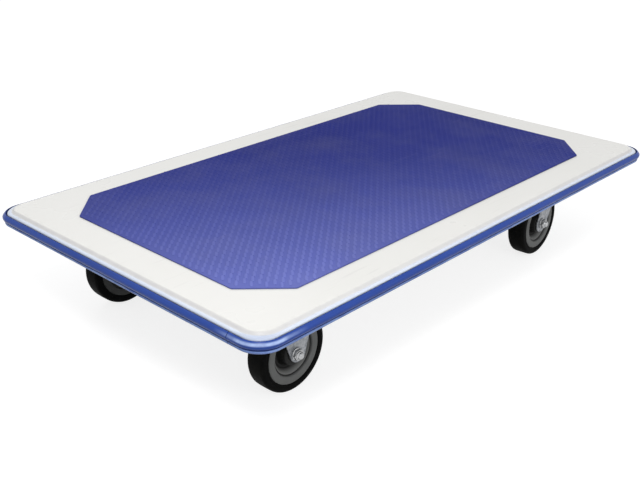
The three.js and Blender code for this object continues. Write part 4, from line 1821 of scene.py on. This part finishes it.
@dataclass
class Caster:
    """What the fixed and the swivel casters share."""

    KIND: ClassVar[str]
    shop: Workshop
    side: Side
    x: float
    y: float
    leg_middle: float = 19.3
    bead_offset: float = 1.6
    plate_length: float = 105
    plate_width: float = 85
    plate_corner: float = 9
    plate_edge: float = 0.5

    @property
    def prefix(self) -> str:
        """The caster's name."""
        return f"{self.KIND}_{self.side.word}"

    @property
    def place(self) -> Matrix:
        """The caster's place, mirrored on the left side."""
        mirror = Matrix.Diagonal((1, -self.side.value, 1, 1))
        return moved(self.x, self.side.value * self.y) @ mirror

    def _plate_shell(self) -> Shell:
        """Returns a shell with the caster plate, its edges broken."""
        edge, bottom, top = self.plate_edge, LEVELS.plate_bottom, LEVELS.plate_top
        length, width, corner = self.plate_length, self.plate_width, self.plate_corner
        loops = [
            rounded_rectangle(length - 2 * inset, width - 2 * inset, corner - inset, level, 8)
            for inset, level in ((edge, bottom), (0.0, bottom + edge), (0.0, top - edge), (edge, top))
        ]
        return Shell().skin(loops, self.place)

    def _give(self, shell: Shell, label: str, node: str, body: str, slot: Slot) -> None:
        """Makes and delivers a piece of the caster."""
        self.shop.give(shell, self.prefix, label, node, body, slot)

    def _wheel(self, body: str, hub: Matrix) -> None:
        """Builds the axle on a body, and the wheel on its own."""
        Axle(self.shop).build(self.prefix, body, hub)
        Wheel(self.shop).build(self.prefix, f"wheel_{self.prefix}", hub)


@dataclass
class FixedCaster(Caster):
    """A fixed caster: a plate with two wide legs, and the wheel between them."""

    KIND: ClassVar[str] = "fixed"
    half_top: float = 48
    tip_shift: float = 4
    tip: float = 15

    def build(self) -> None:
        """Builds and dresses the bracket, the axle and the wheel."""
        shell = self._plate_shell()
        leg = Leg(self.half_top, LEVELS.plate_bottom + 1.2, self.tip_shift, self.tip)
        bead = Bead(self.half_top, LEVELS.plate_bottom - 0.3, 1.5, 60)
        for way in WAYS:
            middle = way * self.leg_middle
            leg.add(shell, middle, self.place)
            for face in WAYS:
                bead.add(shell, middle + face * self.bead_offset, self.place)
        self._give(shell, "pressed_bracket", "bracket", "deck", Slot.ZINC)
        self._wheel("deck", self.place @ moved(z=LEVELS.axle))


@dataclass
class SwivelCaster(Caster):
    """A swivel caster: plate, kingpin, balls, and a fork that trails its wheel."""

    KIND: ClassVar[str] = "swivel"
    turn: float = 0.0
    trail: float = 42
    crown_radius: float = 36
    segments: int = 72
    balls: int = 20
    ball_radius: float = 3.3
    ball_gap: float = 3.8
    ball_circle: float = 29.5
    kingpin_radius: float = 6
    kingpin_head: float = 10
    nut_apothem: float = 9.35
    nut_height: float = 8

    def build(self) -> None:
        """Builds and dresses the plate, kingpin, balls, fork, axle and wheel."""
        turning = self.place @ turned_about("Z", self.turn)
        self._plate()
        self._kingpin()
        self._fork(turning)
        self._balls(turning)
        self._wheel(f"fork_{self.prefix}", turning @ moved(-self.trail, 0, LEVELS.axle))

    def _plate(self) -> None:
        """Makes the plate with the pressed dish under it."""
        dish, plate = LEVELS.dish_bottom, LEVELS.plate_bottom + 1
        outline = [(6.5, dish), (22.6, dish), (24.0, dish + 1.6), (24.0, plate)]
        outline += [(21.0, plate), (20.5, dish + 3.5), (6.5, dish + 3.5)]
        shell = self._plate_shell().turned(softened(outline, 1.0, 3), self.segments, self.place)
        self._give(shell, "dished_plate", "plate", "deck", Slot.ZINC)

    def _kingpin(self) -> None:
        """Makes the kingpin and its nut."""
        radius, head, face = self.kingpin_radius, self.kingpin_head, LEVELS.kingpin_head
        pin = [
            circle(radius - 0.9, LEVELS.kingpin_end),
            *threads(radius, LEVELS.kingpin_end + 0.9, LEVELS.kingpin_nut, 0.5),
            circle(radius, face - 0.05),
            circle(head, face),
            circle(head, face + 2.8),
            circle(head - 1.5, face + 3.8),
            circle(head - 4, face + 4),
        ]
        self._give(Shell().skin(pin, self.place), "king_bolt", "kingpin", "deck", Slot.FASTENERS)
        bottom, apothem, bore = LEVELS.kingpin_nut, self.nut_apothem, radius + 0.3
        top = bottom + self.nut_height
        nut = [
            circle(bore, bottom + 0.6),
            circle(bore + 0.6, bottom),
            hexagon(apothem, apothem * 0.96, bottom),
            hexagon(apothem, apothem * 1.07, bottom + 0.6),
            hexagon(apothem, 2 * apothem, bottom + 1.4),
            hexagon(apothem, 2 * apothem, top - 1.4),
            hexagon(apothem, apothem * 1.07, top - 0.6),
            hexagon(apothem, apothem * 0.96, top),
            circle(bore + 0.6, top),
            circle(bore, top - 0.6),
        ]
        shell = Shell().skin(nut, self.place, ring=True)
        self._give(shell, "king_nut", "kingpin_nut", "deck", Slot.FASTENERS)

    def _fork(self, turning: Matrix) -> None:
        """Makes the fork: a rimmed crown with a raised land, and two raked legs."""
        rim, bottom = self.crown_radius, LEVELS.crown_bottom
        crown = [
            (6.8, LEVELS.land_bottom),
            (14.0, LEVELS.land_bottom),
            (16.2, bottom),
            (rim - 2.4, bottom),
            (rim, bottom + 2.4),
            (rim, LEVELS.crown_rim),
            (rim - 3, LEVELS.crown_rim),
            (rim - 3, LEVELS.crown_top),
            (17.8, LEVELS.crown_top),
            (15.8, LEVELS.land_top),
            (6.8, LEVELS.land_top),
        ]
        shell = Shell().turned(softened(crown, 1.3, 3), self.segments, turning)
        half_top = math.sqrt(rim**2 - (self.leg_middle + 1.5) ** 2)
        leg = Leg(half_top, bottom + 1.7, -self.trail)
        bead = Bead(half_top, bottom - 0.2, 1.3, 44)
        for way in WAYS:
            middle = way * self.leg_middle
            leg.add(shell, middle, turning)
            bead.add(shell, middle + way * self.bead_offset, turning)
        self._give(shell, "pressed_fork", "fork", f"fork_{self.prefix}", Slot.ZINC)

    def _balls(self, turning: Matrix) -> None:
        """Makes the ring of balls between the plate and the crown."""
        level = LEVELS.crown_top + self.ball_gap
        radius, angles = self.ball_radius, [math.pi * share for share in shares(8)[1:-1]]
        loops = [circle(radius * math.sin(a), -radius * math.cos(a), 14) for a in angles]
        ball = Shell().skin(loops).make("ball")
        ring = circle(self.ball_circle, level, self.balls)
        places = [(turning @ spot, 2 * math.pi * i / self.balls) for i, spot in enumerate(ring)]
        body = f"fork_{self.prefix}"
        self.shop.set_out(
            f"{self.prefix}_balls", ball, places, body, Slot.BEARINGS, f"{self.prefix}_ball_ring"
        )


@dataclass
class Lamp:
    """One soft area lamp."""

    name: str
    place: Triple
    target: Triple
    size: float
    power: float

    def build(self) -> None:
        """Makes the lamp and turns it towards its target."""
        data = bpy.data.lights.new(self.name, "AREA")
        data.shape = "SQUARE"
        data.size = self.size
        data.energy = self.power
        lamp = new_object(self.name, data)
        lamp.location = self.place
        direction = Vector(self.target) - Vector(self.place)
        lamp.rotation_euler = direction.to_track_quat("-Z", "Y").to_euler()


@dataclass
class Studio:
    """The white floor, the lamps, the surroundings and the camera."""

    floor_half: float = 14.0
    floor_colour: Colour = grey(0.40)
    floor_lift: float = 0.80
    surround: float = 0.53
    lens: float = 52.26
    sensor: float = 36.0
    clip_start: float = 0.05
    camera_place: Triple = (-1.15197, -1.00856, 0.74977)
    camera_turn: Triple = (65.54976, -0.27871, -46.7729)
    lamps: tuple[Lamp, ...] = (
        Lamp("key", (-1.25, -0.97, 2.1), (-0.3, -0.2, 0.1), 0.6, 21.0),
        Lamp("back", (1.2, 2.3, 2.2), (-0.1, 0.0, 0.1), 1.6, 9.0),
        Lamp("right", (-0.3, -2.3, 0.95), (-0.2, 0.0, 0.08), 1.0, 10.0),
    )

    def build(self) -> None:
        """Sets the studio up."""
        self._floor()
        self._surroundings()
        for lamp in self.lamps:
            lamp.build()
        self._camera()
        bpy.context.scene.view_settings.view_transform = "Standard"

    def _backdrop_share(self, graph: Graph) -> Socket:
        """Returns 1 for rays from the camera and for what gloss and glass show."""
        path = graph.add("ShaderNodeLightPath").outputs
        gloss = graph.math("MAXIMUM", path["Is Glossy Ray"], path["Is Transmission Ray"])
        return graph.math("MAXIMUM", path["Is Camera Ray"], gloss)

    def _floor(self) -> None:
        """Makes the floor, white to the camera where no shadow falls on it."""
        material = bpy.data.materials.new("studio floor")
        graph = cleared(material)
        plain = graph.add("ShaderNodeBsdfDiffuse", {"Color": self.floor_colour})
        lift = graph.times(self._backdrop_share(graph), self.floor_lift)
        glow = graph.add("ShaderNodeEmission", {"Strength": lift})
        lit = graph.add("ShaderNodeAddShader", {0: plain.outputs[0], 1: glow.outputs[0]})
        clear = graph.add("ShaderNodeBsdfTransparent")
        behind = graph.add("ShaderNodeNewGeometry").outputs["Backfacing"]
        both = graph.add("ShaderNodeMixShader", {0: behind, 1: lit.outputs[0], 2: clear.outputs[0]})
        graph.add("ShaderNodeOutputMaterial", {"Surface": both.outputs[0]})
        half = self.floor_half
        mesh = bpy.data.meshes.new("floor")
        corners = [(-half, -half, 0), (half, -half, 0), (half, half, 0), (-half, half, 0)]
        mesh.from_pydata(corners, [], [(0, 1, 2, 3)])
        mesh.materials.append(material)
        floor = new_object("floor", mesh)

    def _surroundings(self) -> None:
        """Makes the world: a plain light, and white to the camera."""
        world = bpy.data.worlds.new("studio")
        graph = cleared(world)
        light = graph.add("ShaderNodeBackground", {"Color": grey(1.0), "Strength": self.surround})
        white = graph.add("ShaderNodeBackground", {"Color": grey(1.0), "Strength": 1.0})
        share = self._backdrop_share(graph)
        mixed = graph.add("ShaderNodeMixShader", {0: share, 1: light.outputs[0], 2: white.outputs[0]})
        graph.add("ShaderNodeOutputWorld", {"Surface": mixed.outputs[0]})
        bpy.context.scene.world = world

    def _camera(self) -> None:
        """Sets the camera where the photograph was taken from."""
        data = bpy.data.cameras.new("camera")
        data.lens = self.lens
        data.sensor_width = self.sensor
        data.sensor_fit = "HORIZONTAL"
        data.clip_start = self.clip_start
        camera = new_object("camera", data)
        camera.location = self.camera_place
        camera.rotation_euler = [math.radians(angle) for angle in self.camera_turn]
        bpy.context.scene.camera = camera


def main() -> None:
    """Builds the studio and every sub-assembly in order."""
    logging.basicConfig(level=logging.INFO, format="%(name)s: %(message)s")
    Studio().build()
    effects = Effects()
    materials = {slot: finish.material(effects) for slot, finish in FINISHES.items()}
    shop = Workshop(materials, CopyTree(), PelletTree())
    Deck(shop).build()
    underframe = Underframe(shop)
    underframe.build()
    PlateBolts(shop, underframe).build()
    for side in Side:
        FixedCaster(shop, side, underframe.fixed_x, underframe.fixed_y).build()
        turn = math.radians(3 if side is Side.RIGHT else -5)
        SwivelCaster(shop, side, underframe.kingpin_x, underframe.kingpin_y, turn=turn).build()


if __name__ == "__main__":
    main()
